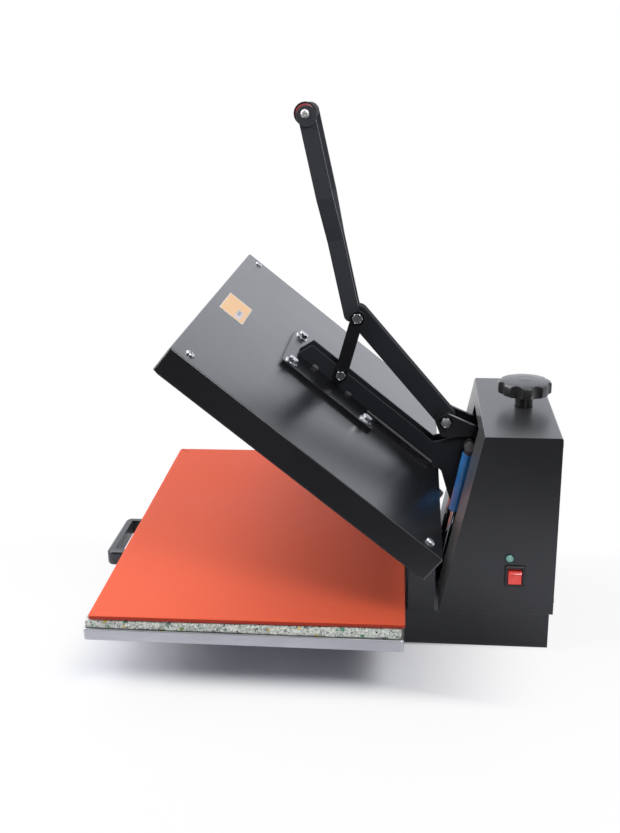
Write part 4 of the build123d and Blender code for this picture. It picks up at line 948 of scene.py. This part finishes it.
patches = rebonded.band(rebonded.noise(spot, 130.0, 2.0), 0.47, 0.53)
blended = rebonded.mix(patches, big_crumbs, small_crumbs)
heights = rebonded.math("MULTIPLY_ADD", rebonded.noise(spot, 1500.0, 2.0), 0.5, rebonded.band(edges, 0.0, 0.10))
# The crumbs are darker along their edges, where the bump sinks them into gaps: painted shade in the crevices.
rebonded.shade(
    Base_Color=rebonded.mix(1.0, blended, rebonded.band(edges, 0.0, 0.14, 0.66, 1.0), blend_type="MULTIPLY"),
    Normal=rebonded.add("Bump", Strength=0.7, Distance=0.0012, Height=heights)["Normal"],
    Roughness=0.92, Specular_IOR_Level=0.25)
fit(tidy(foam, smooth=60), rebonded, "drawer", "foam", "foam_pad")

# ---- Silicone sheet -------------------------------------------------------------------------------
# A sheet of orange silicone rubber laid on the foam: pressed flat but never quite, with soft edges,
# a fine fabric-like skin from its mould, and a faint bloom where platens have pressed on it.

sheet_low, sheet_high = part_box("silicone_pad")
sheet = slab(
    "silicone_sheet", sheet_low + Vector((-0.0015, -0.0020, 0.0003)),
    sheet_high - Vector((-0.0015, -0.0020, 0.0005)))
round_edges(sheet, upright, 0.004, segments=6)
round_edges(sheet, lambda edge: abs(edge.verts[0].co.z - edge.verts[1].co.z) < same, 0.0012, segments=3)
pick(sheet, "FACE", lambda face: abs(face.normal.z) > 0.999)
bpy.ops.mesh.inset(thickness=0.004)
bpy.ops.object.mode_set(mode="OBJECT")
span = sheet_high - sheet_low
for axis, steps in ((0, 30), (1, 20)):
    slice_across(sheet, axis, [sheet_low[axis] + span[axis] * step / steps for step in range(1, steps)])
roughen(sheet, "CLOUDS", size=0.11, strength=0.0009, direction="Z", mid_level=0.5)
lie = (sheet_low + sheet_high) / 2
askew = Matrix.Rotation(radians(0.9), 4, "Z")
sheet.data.transform(Matrix.Translation(lie) @ askew @ Matrix.Translation(-lie))

silicone = Finish("orange_silicone")
rub = silicone.group(rubbed_edge, Radius=0.0010, Patch_Size=30.0, Amount=0.5)
spot = silicone.here()
bloom = silicone.noise(spot, 5.0, 4.0)
painted_shade_tilt = silicone.add("SeparateXYZ", silicone.add("NewGeometry")["Normal"])["Z"]
lint = silicone.add("TexVoronoi", Vector=spot, Scale=110.0)["Distance"]
oranges = silicone.mix(bloom, (0.77, 0.098, 0.037), (0.83, 0.125, 0.053))
oranges = silicone.mix(rub["Mask"], oranges, (0.70, 0.17, 0.10))
# Faces that turn away from the top are darker and deeper orange: painted shade on the sheet's sides.
oranges = silicone.mix(silicone.band(painted_shade_tilt, 0.55, 0.15), oranges, (0.42, 0.035, 0.014))
fine = silicone.noise(spot, 1600.0, 2.0)
pressed = silicone.add("Bump", Strength=0.22, Distance=0.0003, Height=fine, Normal=rub["Normal"])
silicone.shade(
    Base_Color=silicone.mix(silicone.band(lint, 0.045, 0.02), oranges, (0.82, 0.36, 0.26)),
    Roughness=silicone.band(bloom, 0.3, 0.7, 0.46, 0.60), Normal=pressed["Normal"],
    Specular_IOR_Level=0.26, Sheen_Weight=0.05)
fit(tidy(sheet, smooth=40), silicone, "drawer", "silicone", "silicone_pad")

for master in (screw_head, key_cap, bolt_head, lock_nut, washer, tack, seam):
    bpy.data.objects.remove(master)
